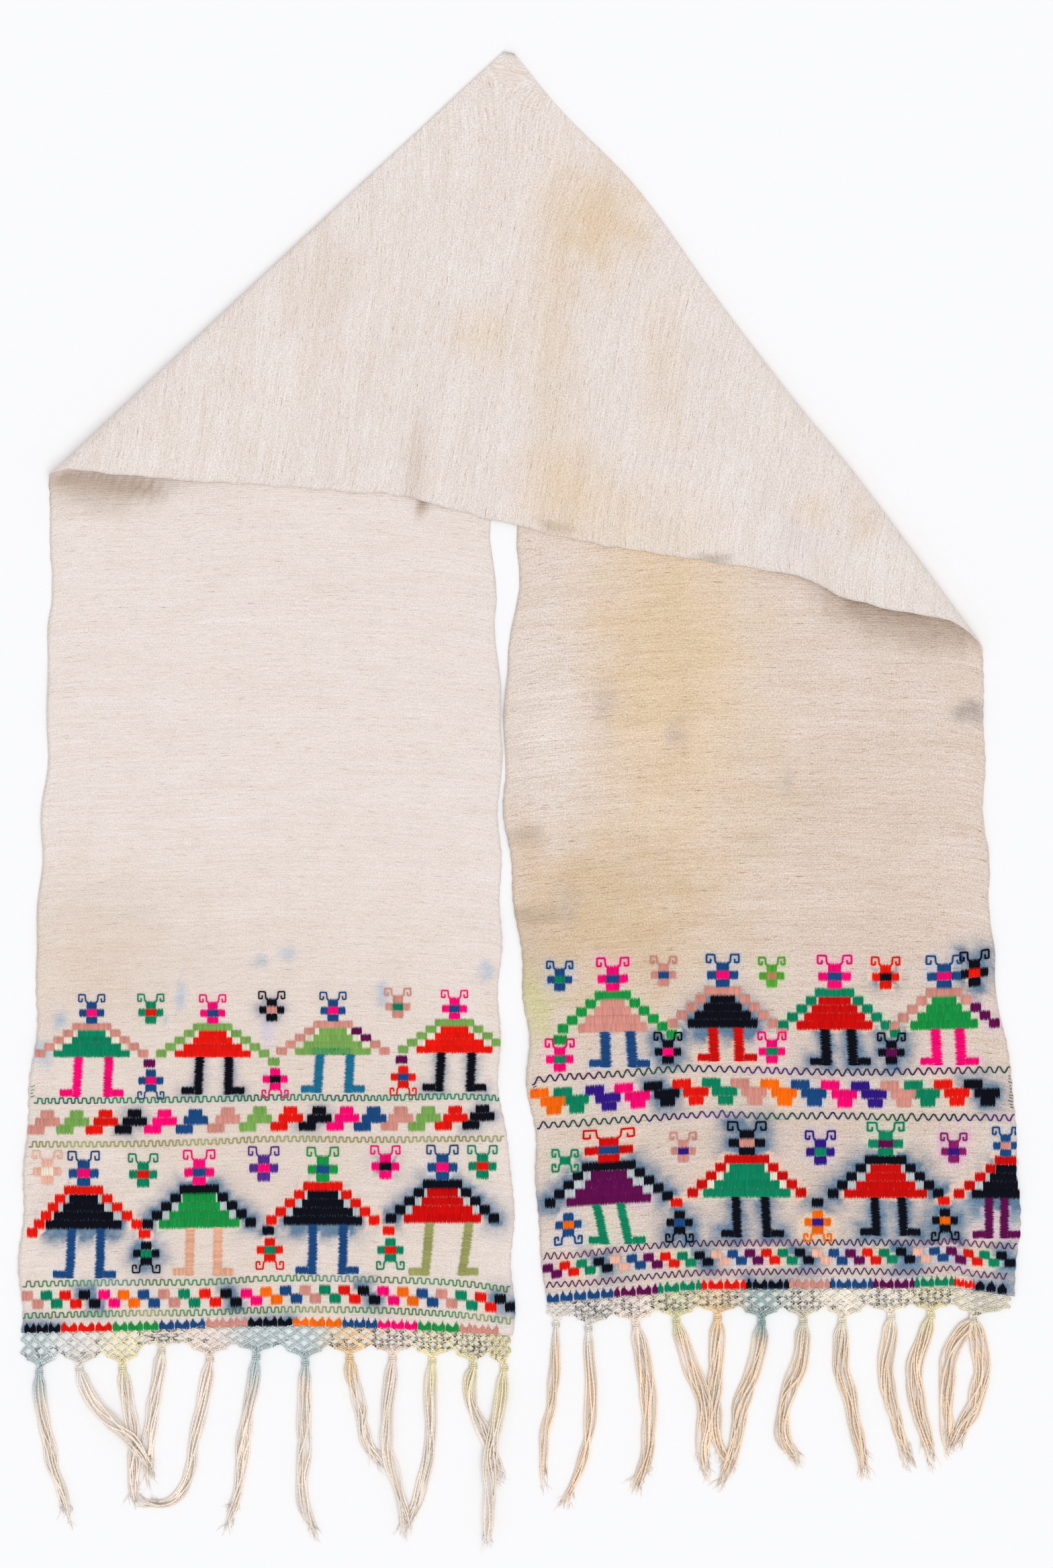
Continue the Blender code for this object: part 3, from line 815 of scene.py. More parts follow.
@dataclass(frozen=True, kw_only=True)
class YarnFinish(Finish):
    """Spun yarn, coloured along its length, with its fibres running along it."""

    name: str
    grain: Colour
    roughness: float = 0.85
    sheen: float = 0.02
    gloss: float = 0.06
    bump: float = 0.5
    relief: float = 0.0003
    contrast: float = 0.22

    def build(self, fibre: bpy.types.NodeTree) -> bpy.types.Material:
        """The material.

        Args:
            fibre: The fibres' shader group, which reads the place on the piece.

        Returns:
            The material.
        """
        made = bpy.data.materials.new(self.name)
        made.use_nodes = True
        graph = Graph(made.node_tree)
        place = graph.scale(graph.add("ShaderNodeTexCoord").outputs["Object"], self.grain)
        colour = graph.add("ShaderNodeAttribute", attribute_name="colour").outputs["Color"]
        spun = graph.add("ShaderNodeGroup", {"Place": place, "Contrast": self.contrast}, node_tree=fibre)
        self.coat(graph, graph.tint(colour, spun.outputs["Tone"]), spun.outputs["Height"])
        return made


def put(name: str, data: Any) -> bpy.types.Object:
    """Puts a mesh, a lamp or a lens into the scene.

    Args:
        name: The object's name.
        data: What it is made from.

    Returns:
        The object.
    """
    made = bpy.data.objects.new(name, data)
    bpy.context.scene.collection.objects.link(made)
    return made


def plain(name: str, worker: bpy.types.Object) -> bpy.types.Object:
    """Turns an object with modifiers into a plain mesh.

    Args:
        name: The piece's name.
        worker: The object, which is removed.

    Returns:
        The piece, with no modifier.
    """
    graph = bpy.context.evaluated_depsgraph_get()
    formed = bpy.data.meshes.new_from_object(worker.evaluated_get(graph), depsgraph=graph)
    bpy.data.objects.remove(worker)
    formed.name = name
    return put(name, formed)


class Former:
    """A Geometry Nodes tree with named inputs, which forms plain meshes from guides."""

    def __init__(self, name: str) -> None:
        """Starts the tree with its geometry input.

        Args:
            name: The tree's name.
        """
        self.tree = bpy.data.node_groups.new(name, "GeometryNodeTree")
        self.tree.interface.new_socket("Guide", in_out="INPUT", socket_type="NodeSocketGeometry")
        self.graph = Graph(self.tree)
        self.given = self.graph.add("NodeGroupInput")

    def size(self, name: str, kind: str = "NodeSocketFloat") -> Socket:
        """Adds a named input, and gives its socket inside the tree."""
        self.tree.interface.new_socket(name, in_out="INPUT", socket_type=kind)
        return self.given.outputs[name]

    def named(self, name: str, kind: str) -> Socket:
        """The value of one of the guide's own attributes."""
        return self.graph.add("GeometryNodeInputNamedAttribute", {"Name": name}, data_type=kind).outputs[0]

    def finish(self, geometry: Socket) -> None:
        """Ends the tree: instances made real, shaded smooth, and given the finish.

        Args:
            geometry: What the tree has formed.
        """
        real = self.graph.add("GeometryNodeRealizeInstances", {0: geometry})
        smooth = self.graph.add("GeometryNodeSetShadeSmooth", {0: real.outputs[0]})
        finish = self.size("Finish", "NodeSocketMaterial")
        dressed = self.graph.add("GeometryNodeSetMaterial", {0: smooth.outputs[0], "Material": finish})
        self.tree.interface.new_socket("Piece", in_out="OUTPUT", socket_type="NodeSocketGeometry")
        self.graph.add("NodeGroupOutput", {0: dressed.outputs[0]})

    def form(self, name: str, guide: bpy.types.Mesh, sizes: dict[str, Any]) -> bpy.types.Object:
        """Forms one piece.

        Args:
            name: The piece's name.
            guide: The mesh of points or edges that the tree works from.
            sizes: Values for the tree's named inputs.

        Returns:
            The piece, as a plain mesh with no modifier.
        """
        worker = put(name + " guide", guide)
        modifier = worker.modifiers.new("form", "NODES")
        modifier.node_group = self.tree
        sockets = {item.name: item.identifier for item in self.tree.interface.items_tree}
        for size, value in sizes.items():
            modifier[sockets[size]] = value
        piece = plain(name, worker)
        bpy.data.meshes.remove(guide)
        return piece


class StitchFormer(Former):
    """Forms satin stitches: a slim bar of wool on each point, arched over the cloth."""

    BAR_POINTS = 4
    PROFILE_SIDES = 4
    PROFILE_RADIUS = 0.56
    END_GIRTH = 0.55
    SWELL = 0.5

    def __init__(self) -> None:
        """Builds the tree."""
        super().__init__("satin stitches")
        arch = self.size("Arch")
        width = self.size("Width")
        wander = self.size("Wander")
        seed = self.size("Seed", "NodeSocketInt")
        graph = self.graph
        line = graph.add("GeometryNodeCurvePrimitiveLine", {"Start": (0, -0.5, 0), "End": (0, 0.5, 0)})
        bar = graph.add("GeometryNodeResampleCurve", {0: line.outputs[0], "Count": self.BAR_POINTS})
        along = graph.add("GeometryNodeSplineParameter").outputs["Factor"]
        swell = graph.math("SINE", graph.math("MULTIPLY", along, math.pi))
        rise = graph.add("ShaderNodeCombineXYZ", {"Z": graph.math("MULTIPLY", swell, arch)})
        arched = graph.add("GeometryNodeSetPosition", {0: bar.outputs[0], "Offset": rise.outputs[0]})
        girth = graph.math("ADD", graph.math("MULTIPLY", swell, self.SWELL), self.END_GIRTH)
        profile = graph.add(
            "GeometryNodeCurvePrimitiveCircle",
            {"Resolution": self.PROFILE_SIDES, "Radius": self.PROFILE_RADIUS},
        )
        thick = graph.math("MULTIPLY", girth, width)
        solid = graph.add(
            "GeometryNodeCurveToMesh",
            {0: arched.outputs[0], 1: profile.outputs[0], "Scale": thick, "Fill Caps": True},
        )
        sway = graph.add(
            "FunctionNodeRandomValue", {2: graph.math("MULTIPLY", wander, -1.0), 3: wander, "Seed": seed},
            data_type="FLOAT",
        )
        turn = graph.add("ShaderNodeCombineXYZ", {"Z": sway.outputs[1]})
        laid = self.named("turn", "FLOAT_VECTOR")
        turned = graph.add("ShaderNodeVectorMath", {0: laid, 1: turn.outputs[0]})
        placed = graph.add(
            "GeometryNodeInstanceOnPoints",
            {"Points": self.given.outputs["Guide"], "Instance": solid.outputs[0],
             "Rotation": turned.outputs[0], "Scale": self.named("size", "FLOAT_VECTOR")},
        )
        self.finish(placed.outputs[0])


class YarnFormer(Former):
    """Forms yarns: a flattened, twisted tube along each chain of edges."""

    def __init__(self) -> None:
        """Builds the tree."""
        super().__init__("laid yarns")
        sides = self.size("Sides", "NodeSocketInt")
        flatness = self.size("Flatness")
        graph = self.graph
        chain = graph.add("GeometryNodeMeshToCurve", {0: self.given.outputs["Guide"]})
        tilted = graph.add(
            "GeometryNodeSetCurveTilt", {0: chain.outputs[0], "Tilt": self.named("twist", "FLOAT")}
        )
        ring = graph.add("GeometryNodeCurvePrimitiveCircle", {"Resolution": sides, "Radius": 1.0})
        oval = graph.add("ShaderNodeCombineXYZ", {"X": 1.0, "Y": flatness, "Z": 1.0})
        profile = graph.add("GeometryNodeTransform", {0: ring.outputs[0], "Scale": oval.outputs[0]})
        solid = graph.add(
            "GeometryNodeCurveToMesh",
            {0: tilted.outputs[0], 1: profile.outputs[0], "Scale": self.named("girth", "FLOAT"),
             "Fill Caps": True},
        )
        self.finish(solid.outputs[0])


# ---------------------------------------------------------------- yarn


def rounded(corners: Sequence[Vector], step: float) -> list[Vector]:
    """A smooth path through corners.

    Args:
        corners: The corners.
        step: About how far apart the path's points are.

    Returns:
        The path's points.
    """
    ends = [corners[0], *corners, corners[-1]]
    path: list[Vector] = []
    for before, start, end, after in zip(ends, ends[1:], ends[2:], ends[3:]):
        count = max(1, round((end - start).length / step))
        for number in range(count):
            t = number / count
            path.append(
                0.5 * (2 * start + (end - before) * t + (2 * before - 5 * start + 4 * end - after) * t**2
                       + (3 * start - before - 3 * end + after) * t**3)
            )
    return [*path, corners[-1].copy()]


def mitred(corners: Sequence[Vector], step: float, radius: float) -> list[Vector]:
    """A path of straight runs through corners.

    Args:
        corners: The corners.
        step: About how far apart the path's points are.
        radius: How far from its corner each turn starts.

    Returns:
        The path's points.
    """
    most_cut, cut_in = 0.45, 0.3
    turns = [corners[0].copy()]
    for before, corner, after in zip(corners, corners[1:], corners[2:]):
        back, on = before - corner, after - corner
        cut = min(radius, back.length * most_cut, on.length * most_cut)
        back, on = back.normalized() * cut, on.normalized() * cut
        turns += [corner + back, corner + (back + on) * cut_in, corner + on]
    turns.append(corners[-1].copy())
    path = [turns[0]]
    for start, end in zip(turns, turns[1:]):
        count = max(1, round((end - start).length / step))
        path += [start.lerp(end, (number + 1) / count) for number in range(count)]
    return path


@dataclass
class Skein:
    """Lengths of yarn, gathered to be formed as one piece."""

    ply_pitch: float
    seed: int
    places: list[Vector] = field(default_factory=list)
    links: list[tuple[int, int]] = field(default_factory=list)
    girths: list[float] = field(default_factory=list)
    twists: list[float] = field(default_factory=list)
    colours: list[Colour] = field(default_factory=list)

    def __post_init__(self) -> None:
        """Starts the skein's own chances."""
        self.chance = random.Random(self.seed)

    def lay(
        self, path: Sequence[Vector], girth: Callable[[float], float], colour: Callable[[float], Colour]
    ) -> None:
        """Adds one length of yarn.

        Args:
            path: Its middle line.
            girth: Its half-width at each share of the way along.
            colour: Its colour at each share of the way along.
        """
        first = len(self.places)
        twist = self.chance.uniform(0.0, math.pi)
        for number, place in enumerate(path):
            share = number / (len(path) - 1)
            if number:
                twist += (place - path[number - 1]).length / self.ply_pitch * math.tau
                self.links.append((first + number - 1, first + number))
            self.places.append(place)
            self.girths.append(girth(share))
            self.twists.append(twist)
            self.colours.append(colour(share))

    def guide(self, name: str) -> bpy.types.Mesh:
        """Makes the former's guide.

        Args:
            name: The mesh's name.

        Returns:
            A mesh of the yarns' middle lines, with what the former reads from them.
        """
        mesh = bpy.data.meshes.new(name)
        mesh.from_pydata(self.places, self.links, [])
        store(mesh, "girth", "FLOAT", self.girths)
        store(mesh, "twist", "FLOAT", self.twists)
        store(mesh, "colour", "FLOAT_COLOR", [(*colour, 1.0) for colour in self.colours])
        return mesh


def store(mesh: bpy.types.Mesh, name: str, kind: str, values: Any) -> None:
    """Stores a value at each of a mesh's points.

    Args:
        mesh: The mesh.
        name: What the finishes and formers read the values by.
        kind: The kind of value.
        values: The values, in the order of the points.
    """
    keys = {"FLOAT": "value", "FLOAT_VECTOR": "vector", "FLOAT_COLOR": "color"}
    made = mesh.attributes.new(name, kind, "POINT")
    made.data.foreach_set(keys[kind], np.asarray(values, np.float32).ravel())


def blend(first: Colour, second: Colour, share: float) -> Colour:
    """A colour between two others."""
    red, green, blue = (a + (b - a) * share for a, b in zip(first, second))
    return red, green, blue


def toned(colour: Colour, tone: float) -> Colour:
    """A colour made lighter or darker."""
    red, green, blue = (channel * tone for channel in colour)
    return red, green, blue


# ---------------------------------------------------------------- embroidery


@dataclass(frozen=True)
class Stitch:
    """One satin stitch, in millimetres: its middle, its size and its turn from upright."""

    x: float
    y: float
    length: float
    breadth: float
    turn: float
    colour: Colour


@dataclass(frozen=True)
class Thread:
    """A laid thread, in millimetres."""

    path: tuple[tuple[float, float], ...]
    half_width: float
    dyes: tuple[Dye, ...]
    crisp: bool = False


@dataclass(frozen=True)
class Patch:
    """A patch of dyed wool, in millimetres. Its foot lies to the right of its top by its lean."""

    left: float
    top: float
    width: float
    height: float
    dye: Dye
    lean: float = 0.0


class Needlework:
    """Counted-thread embroidery, gathered as stitches, laid threads and dyed patches, in millimetres."""

    PITCH = 1.08
    OVERLAP = 1.16
    TAUTNESS = 1.03
    TOOTH_HEIGHT = 4.6
    SHADES = (0.88, 1.12)
    DEPTHS = (0.93, 1.06)
    TOOTH_LENGTHS = (0.92, 1.08)
    STRAY = 0.28
    STRAY_ACROSS = 1.6
    RAGGED_END = 0.5

    def __init__(self, seed: int, wetting: Wetting) -> None:
        """Starts with nothing worked.

        Args:
            seed: The seed of the wool's and the hand's unevenness.
            wetting: How wet this part of the towel got.
        """
        self.chance = random.Random(seed)
        self.wetting = wetting
        self.stitches: list[Stitch] = []
        self.threads: list[Thread] = []
        self.patches: list[Patch] = []

    def _shade(self, dye: Dye, depth: float) -> Colour:
        """The dye's colour on one stitch, as uneven as hand-dyed wool."""
        return toned(dye.light, depth * self.chance.uniform(*self.SHADES))

    def satin(self, patch: Patch, slope: float = 0.0, across: bool = False) -> None:
        """Fills a patch with satin stitches.

        Args:
            patch: The patch.
            slope: How much higher the patch stands for each millimetre to the right.
            across: True for stitches laid across, whose ends make ragged sides.
        """
        self.patches.append(patch)
        depth = self.chance.uniform(*self.DEPTHS)
        run = patch.height if across else patch.width
        count = max(1, round(run / self.PITCH))
        breadth = run / count * self.OVERLAP
        middle = patch.left + patch.width / 2
        for number in range(count):
            share = (number + 0.5) / count
            stray = self.chance.uniform(-self.STRAY, self.STRAY)
            if across:
                x = middle + patch.lean * share + self.STRAY_ACROSS * stray
                y = patch.top - patch.height * share
                length = patch.width + self.chance.uniform(-self.RAGGED_END, self.RAGGED_END)
                turn = math.pi / 2
            else:
                left = patch.left + patch.width * share
                x = left + patch.lean / 2
                y = patch.top - patch.height / 2 + slope * (left - middle) + stray
                length, turn = patch.height * self.TAUTNESS, math.atan2(patch.lean, patch.height)
            self.stitches.append(Stitch(x, y, length, breadth, turn, self._shade(patch.dye, depth)))

    def points(self, left: float, width: float, foot: float, rise: Curve, dye: Dye) -> None:
        """Fills a patch that stands on a level foot and rises to points.

        Args:
            left: The patch's left side.
            width: Its width.
            foot: The height of its foot.
            rise: Its height above the foot at each share of its width.
            dye: Its dye.
        """
        self.patches.append(Patch(left, foot + self.TOOTH_HEIGHT, width, self.TOOTH_HEIGHT, dye))
        count = max(3, round(width / self.PITCH))
        breadth = width / count * self.OVERLAP
        for number in range(count):
            share = (number + 0.5) / count
            length = rise.at(share) * self.chance.uniform(*self.TOOTH_LENGTHS)
            x = left + width * share
            self.stitches.append(Stitch(x, foot + length / 2, length, breadth, 0.0, self._shade(dye, 1.0)))

    def lay(
        self, path: Iterable[tuple[float, float]], half_width: float, *dyes: Dye, crisp: bool = False
    ) -> None:
        """Lays a thread, from its first dye to its last along its length. A crisp one has sharp turns."""
        self.threads.append(Thread(tuple(path), half_width, dyes, crisp))

    def spill(self, left: float, top: float, width: float, height: float, dye: Dye) -> None:
        """Lets a dye run into the bare cloth of a patch."""
        self.patches.append(Patch(left, top, width, height, dye))


@dataclass(frozen=True)
class Rosette:
    """A rosette with four petals and two curled horns, in millimetres. With four horns it has no petals."""

    x: float
    y: float
    petals: Dye
    heart: Dye
    size: float = 1.0
    breadth: float = 1.0
    hanging: bool = False
    four_horned: bool = False
    slope: float = 0.0

    HEART = (-4.3, 2.95, 8.6, 5.9)
    PETALS = (
        (-10.1, 2.65, 5.8, 5.3), (4.3, 2.65, 5.8, 5.3), (-4.0, 8.8, 8.0, 5.85), (-4.4, -2.95, 8.8, 5.85),
    )
    HORN = ((3.4, -0.6), (4.9, 1.2), (5.3, 6.2), (10.5, 6.4), (10.6, 0.7), (7.9, 0.5), (7.8, 3.2))
    HORN_HALF_WIDTH = 0.74
    HORN_START = 8.6
    HORN_START_OF_FOUR = 2.6
    LOOP = (7.9, 3.4)
    LOOP_REACH = 5.2
    SWOLLEN = 1.18

    def _satin(self, needle: Needlework, place: tuple[float, float, float, float], dye: Dye) -> None:
        """Works a patch in satin stitch.

        Args:
            needle: What it's worked with.
            place: Its left side, top, width and height, from the rosette's middle and at its plain size.
            dye: Its dye.
        """
        left, top, width, height = place
        wide = self.size * self.breadth
        middle = (left + width / 2) * wide
        level = self.y + top * self.size + self.slope * middle
        patch = Patch(self.x + left * wide, level, width * wide, height * self.size, dye)
        needle.satin(patch, self.slope)

    def _horn(self, needle: Needlework, side: int, up: int) -> None:
        """Works a horn, and lets its dye run into its loop where dyes ran freely.

        Args:
            needle: What it's worked with.
            side: 1 for a horn to the right, -1 for one to the left.
            up: 1 for a horn that rises, -1 for one that hangs.
        """
        start = self.HORN_START_OF_FOUR if self.four_horned else self.HORN_START
        path = []
        for out, rise in self.HORN:
            across = side * out * self.size * self.breadth
            path.append((self.x + across, self.y + up * (start + rise) * self.size + self.slope * across))
        swollen = self.SWOLLEN if needle.wetting.freely else 1.0
        needle.lay(path, self.HORN_HALF_WIDTH * self.size**0.5 * swollen, self.petals, crisp=True)
        if needle.wetting.freely:
            reach = self.LOOP_REACH * self.size
            out, rise = self.LOOP
            left = self.x + side * out * self.size * self.breadth - reach * self.breadth / 2
            middle = self.y + up * (start + rise) * self.size + self.slope * side * out
            needle.spill(left, middle + reach / 2, reach * self.breadth, reach, self.petals)

    @property
    def level(self) -> float:
        """How high it is on its leg."""
        return self.y

    def work(self, needle: Needlework) -> None:
        """Works the rosette.

        Args:
            needle: What it's worked with.
        """
        self._satin(needle, self.HEART, self.heart)
        ways = (1, -1) if self.four_horned else (-1 if self.hanging else 1,)
        if not self.four_horned:
            for petal in self.PETALS:
                self._satin(needle, petal, self.petals)
        for up in ways:
            for side in (-1, 1):
                self._horn(needle, side, up)


@dataclass(frozen=True)
class Mend:
    """Wool of another colour in a figure's right arm, from the shoulder on, or in its hem."""

    dye: Dye
    steps: tuple[int, ...] = ()
    hem: tuple[float, float] | None = None


@dataclass(frozen=True)
class Figure:
    """A figure holding hands, in millimetres: horned head, stepped arms, stepped skirt, two legs."""

    x: float
    shoulder: float
    sole: float
    petals: Dye
    heart: Dye
    arms: Dye
    skirt: Dye
    legs: Dye
    tread: float = 5.4
    tiers: tuple[float, float, float, float] = (22.6, 32.0, 47.8, 62.0)
    shoulders: float = 32.0
    slope: float = 0.0
    steps: tuple[int, int] = (4, 4)
    stance: tuple[float, float, float, float] = (-10.6, -12.8, 14.2, 12.6)
    head: float = 1.0
    head_breadth: float = 1.0
    strides: tuple[float, float] = (7.6, 7.6)
    mends: tuple[Mend, ...] = ()
    flecked: bool = False
    filled: bool = True
    leg: float = 6.3

    ARM = 8.5
    FOOT = 10.2
    FOOT_HEIGHT = 5.2
    FOOT_RISE = 0.6
    HEAD_RISE = 8.8
    RUN_DOWN = 6.5
    RUN_WIDTH = 0.84
    MEND_RISE = 0.02
    SEAM_STEPS = 8
    SEAM_INSET = 0.5
    SEAM_STRAY = 0.2
    SEAM_HALF_WIDTH = 0.26
    FLECK_PITCH = 2.4
    FLECK_HEIGHT = 1.5
    FLECK_HALF_WIDTH = 0.16
    FLECKS_ACROSS = (-0.46, 0.46)
    FLECKS_UP = (-0.6, 0.9)
    FLECKS_OVER = (-0.5, 0.9)

    @property
    def level(self) -> float:
        """How high it is on its leg."""
        return self.shoulder

    @property
    def _filler(self) -> Dye:
        """The wool between arm and skirt, cream, or greyed by a black that has run."""
        return Dye.GREY if Dye.BLACK in (self.arms, self.skirt) else Dye.CREAM

    def _arm(self, needle: Needlework, side: int, step: int) -> None:
        """Works one step of an arm.

        Args:
            needle: What it's worked with.
            side: 1 for the right arm, -1 for the left one.
            step: The step, from 0 at the shoulder.
        """
        inner = self.shoulders / 2 - 1.0 + self.strides[side > 0] * step
        left = self.x + (inner if side > 0 else -inner - self.ARM)
        top = self.shoulder - self.tread * (step + 1) + self.slope * side * (inner + self.ARM / 2)
        mended = [mend.dye for mend in self.mends if side > 0 and step in mend.steps]
        dye = (mended or [self.arms])[0]
        needle.satin(Patch(left, top, self.ARM, self.tread, dye), self.slope)
        if self.filled and step < len(self.tiers) - 1:
            edge = self.tiers[step] / 2
            gap = self.x + edge if side > 0 else self.x - inner
            level = self.shoulder - self.tread * (step + 1) + self.slope * side * edge
            needle.satin(Patch(gap, level, inner - edge, self.tread, self._filler))

    def _skirt(self, needle: Needlework) -> None:
        """Works the skirt's tiers, with a thin darker thread along each seam between them as painted shade.

        Args:
            needle: What they're worked with.
        """
        for tier, width in enumerate(self.tiers, start=1):
            top = self.shoulder - self.tread * tier
            left = self.x - width / 2
            needle.satin(Patch(left, top, width, self.tread, self.skirt), self.slope)
            if tier == len(self.tiers):
                break
            seam = []
            for number in range(self.SEAM_STEPS + 1):
                across = (number / self.SEAM_STEPS - 0.5) * (width - 2 * self.SEAM_INSET)
                stray = needle.chance.uniform(-self.SEAM_STRAY, self.SEAM_STRAY)
                seam.append((self.x + across, top - self.tread + self.slope * across + stray))
            # Painted shade: the thread in the valley between two tiers is a darker copy of the skirt's dye,
            # where one is listed.
            needle.lay(seam, self.SEAM_HALF_WIDTH, SEAM_SHADE_DYES.get(self.skirt, self.skirt))
            if self.flecked:
                self._flecks(needle, top - self.tread, width)
        hem = self.shoulder - self.tread * len(self.tiers)
        for mend in self.mends:
            if mend.hem:
                left, right = mend.hem
                patch = Patch(left, hem + self.MEND_RISE, right - left, self.tread, mend.dye)
                needle.satin(patch, self.slope)
        if self.skirt is Dye.BLACK:
            reach = self.tiers[-1] * self.RUN_WIDTH
            needle.spill(self.x - reach / 2, hem - self.tread, reach, self.RUN_DOWN, Dye.BLACK)

    def _flecks(self, needle: Needlework, seam: float, width: float) -> None:
        """Lays flecks of pale wool over a seam.

        Args:
            needle: What they're worked with.
            seam: The seam's height at the figure's middle.
            width: Its width.
        """
        for _ in range(round(width / self.FLECK_PITCH)):
            x = self.x + needle.chance.uniform(*self.FLECKS_ACROSS) * width
            y = seam + self.slope * (x - self.x) + needle.chance.uniform(*self.FLECKS_UP)
            top = (x + needle.chance.uniform(*self.FLECKS_OVER), y + self.FLECK_HEIGHT)
            needle.lay(((x, y), top), self.FLECK_HALF_WIDTH, Dye.BLUSH)

    def _leg(self, needle: Needlework, side: int, hip: float, heel: float) -> None:
        """Works one leg and its foot, which points outwards.

        Args:
            needle: What they're worked with.
            side: 1 for the right leg, -1 for the left one.
            hip: The leg's middle at its top, from the figure's own middle.
            heel: The same at its foot.
        """
        top = self.shoulder - self.tread * (len(self.tiers) + 1) + self.slope * hip
        left = self.x + hip - self.leg / 2
        needle.satin(Patch(left, top, self.leg, top - self.sole, self.legs, heel - hip), across=True)
        toe = self.x + heel + side * self.leg / 2 + (0.0 if side > 0 else -self.FOOT)
        instep = self.sole + self.FOOT_HEIGHT + self.FOOT_RISE
        needle.satin(Patch(toe, instep, self.FOOT, self.FOOT_HEIGHT, self.legs))

    def work(self, needle: Needlework) -> None:
        """Works the figure.

        Args:
            needle: What it's worked with.
        """
        left, top = self.x - self.shoulders / 2, self.shoulder
        needle.satin(Patch(left, top, self.shoulders, self.tread, self.arms), self.slope)
        for side, steps in zip((-1, 1), self.steps):
            for step in range(steps):
                self._arm(needle, side, step)
        self._skirt(needle)
        hip_left, heel_left, hip_right, heel_right = self.stance
        self._leg(needle, -1, hip_left, heel_left)
        self._leg(needle, 1, hip_right, heel_right)
        face = self.shoulder + self.HEAD_RISE * self.head
        head = Rosette(self.x, face, self.petals, self.heart, self.head, self.head_breadth, slope=self.slope)
        head.work(needle)


# Painted shade for the valleys between a skirt's tiers: a darker copy of each listed skirt dye.
SEAM_SHADE_DYES = {
    Dye.GREEN: Dye.DEEP_GREEN, Dye.LEAF: Dye.DEEP_GREEN, Dye.LIGHT_GREEN: Dye.OLIVE,
    Dye.RED: Dye.RED_SHADE, Dye.DUSTY: Dye.DUSTY_SHADE, Dye.PURPLE: Dye.DEEP_PURPLE,
}


@dataclass(frozen=True)
class Joint:
    """The block where two hands meet, in millimetres: its middle across, and its top."""

    x: float
    top: float
    dye: Dye
    width: float = 9.3
    height: float = 6.2

    @property
    def level(self) -> float:
        """How high it is on its leg."""
        return self.top

    def work(self, needle: Needlework) -> None:
        """Works the block."""
        needle.satin(Patch(self.x - self.width / 2, self.top, self.width, self.height, self.dye))


@dataclass(frozen=True)
class Unit:
    """One block of a repeating border, in millimetres from the unit's place on its line."""

    left: float
    drop: float
    width: float
    height: float


@dataclass(frozen=True)
class Line:
    """What runs across a leg along a line."""

    line: Curve

    @property
    def level(self) -> float:
        """How high it is on its leg."""
        return self.line.values[0]


@dataclass(frozen=True)
class BlockBorder(Line):
    """A border of stepped blocks, each repeat in the next dye."""

    places: Curve
    units: tuple[Unit, ...]
    dyes: tuple[Dye, ...]

    STRAY = 0.3
    SLOPE_REACH = 4.0

    def work(self, needle: Needlework) -> None:
        """Works the border, with the repeats numbered from 0 in its table of places.

        Args:
            needle: What it's worked with.
        """
        for number in range(int(self.places.keys[-1]) + 1):
            x = self.places.at(number)
            dye = self.dyes[number % len(self.dyes)]
            for unit in self.units:
                middle = x + unit.left + unit.width / 2
                rise = self.line.at(middle + self.SLOPE_REACH) - self.line.at(middle - self.SLOPE_REACH)
                top = self.line.at(middle) - unit.drop + needle.chance.uniform(-self.STRAY, self.STRAY)
                left = x + unit.left + needle.chance.uniform(-self.STRAY, self.STRAY)
                patch = Patch(left, top, unit.width, unit.height, dye)
                needle.satin(patch, rise / (2 * self.SLOPE_REACH))


@dataclass(frozen=True)
class Tooth:
    """One tooth of the border on the woven end, from share to share of its group's width."""

    start: float
    end: float
    rise: Curve


CROWN = Curve((0.0, 4.2), (0.17, 7.2), (0.34, 5.0), (0.5, 3.6), (0.66, 5.0), (0.83, 7.2), (1.0, 4.2))
SPIKE = Curve((0.0, 3.6), (0.5, 7.6), (1.0, 3.6))
THREE_CROWNS = tuple(Tooth(third / 3 + 0.01, third / 3 + 0.32, CROWN) for third in range(3))
FIVE_CROWNS = tuple(Tooth(fifth / 5 + 0.01, fifth / 5 + 0.185, CROWN) for fifth in range(5))
TWO_CROWNS = (
    Tooth(0.0, 0.13, SPIKE), Tooth(0.16, 0.49, CROWN), Tooth(0.52, 0.85, CROWN), Tooth(0.88, 1.0, SPIKE)
)
THREE_SPIKES = tuple(Tooth(third / 3 + 0.02, third / 3 + 0.29, SPIKE) for third in range(3))


@dataclass(frozen=True)
class ToothedBorder(Line):
    """The border of teeth that stands on the woven end, in groups from bound to bound, each in one dye."""

    bounds: tuple[float, ...]
    dyes: tuple[Dye, ...]
    teeth: tuple[Tooth, ...]
    first_teeth: tuple[Tooth, ...]
    last_teeth: tuple[Tooth, ...]

    FOOT_RISE = 0.5

    def work(self, needle: Needlework) -> None:
        """Works the border.

        Args:
            needle: What it's worked with.
        """
        groups = [self.first_teeth, *[self.teeth] * (len(self.dyes) - 2), self.last_teeth]
        for start, end, dye, teeth in zip(self.bounds, self.bounds[1:], self.dyes, groups):
            for tooth in teeth:
                left, width = start + (end - start) * tooth.start, (end - start) * (tooth.end - tooth.start)
                foot = self.line.at(left + width / 2) + self.FOOT_RISE
                needle.points(left, width, foot, tooth.rise, dye)


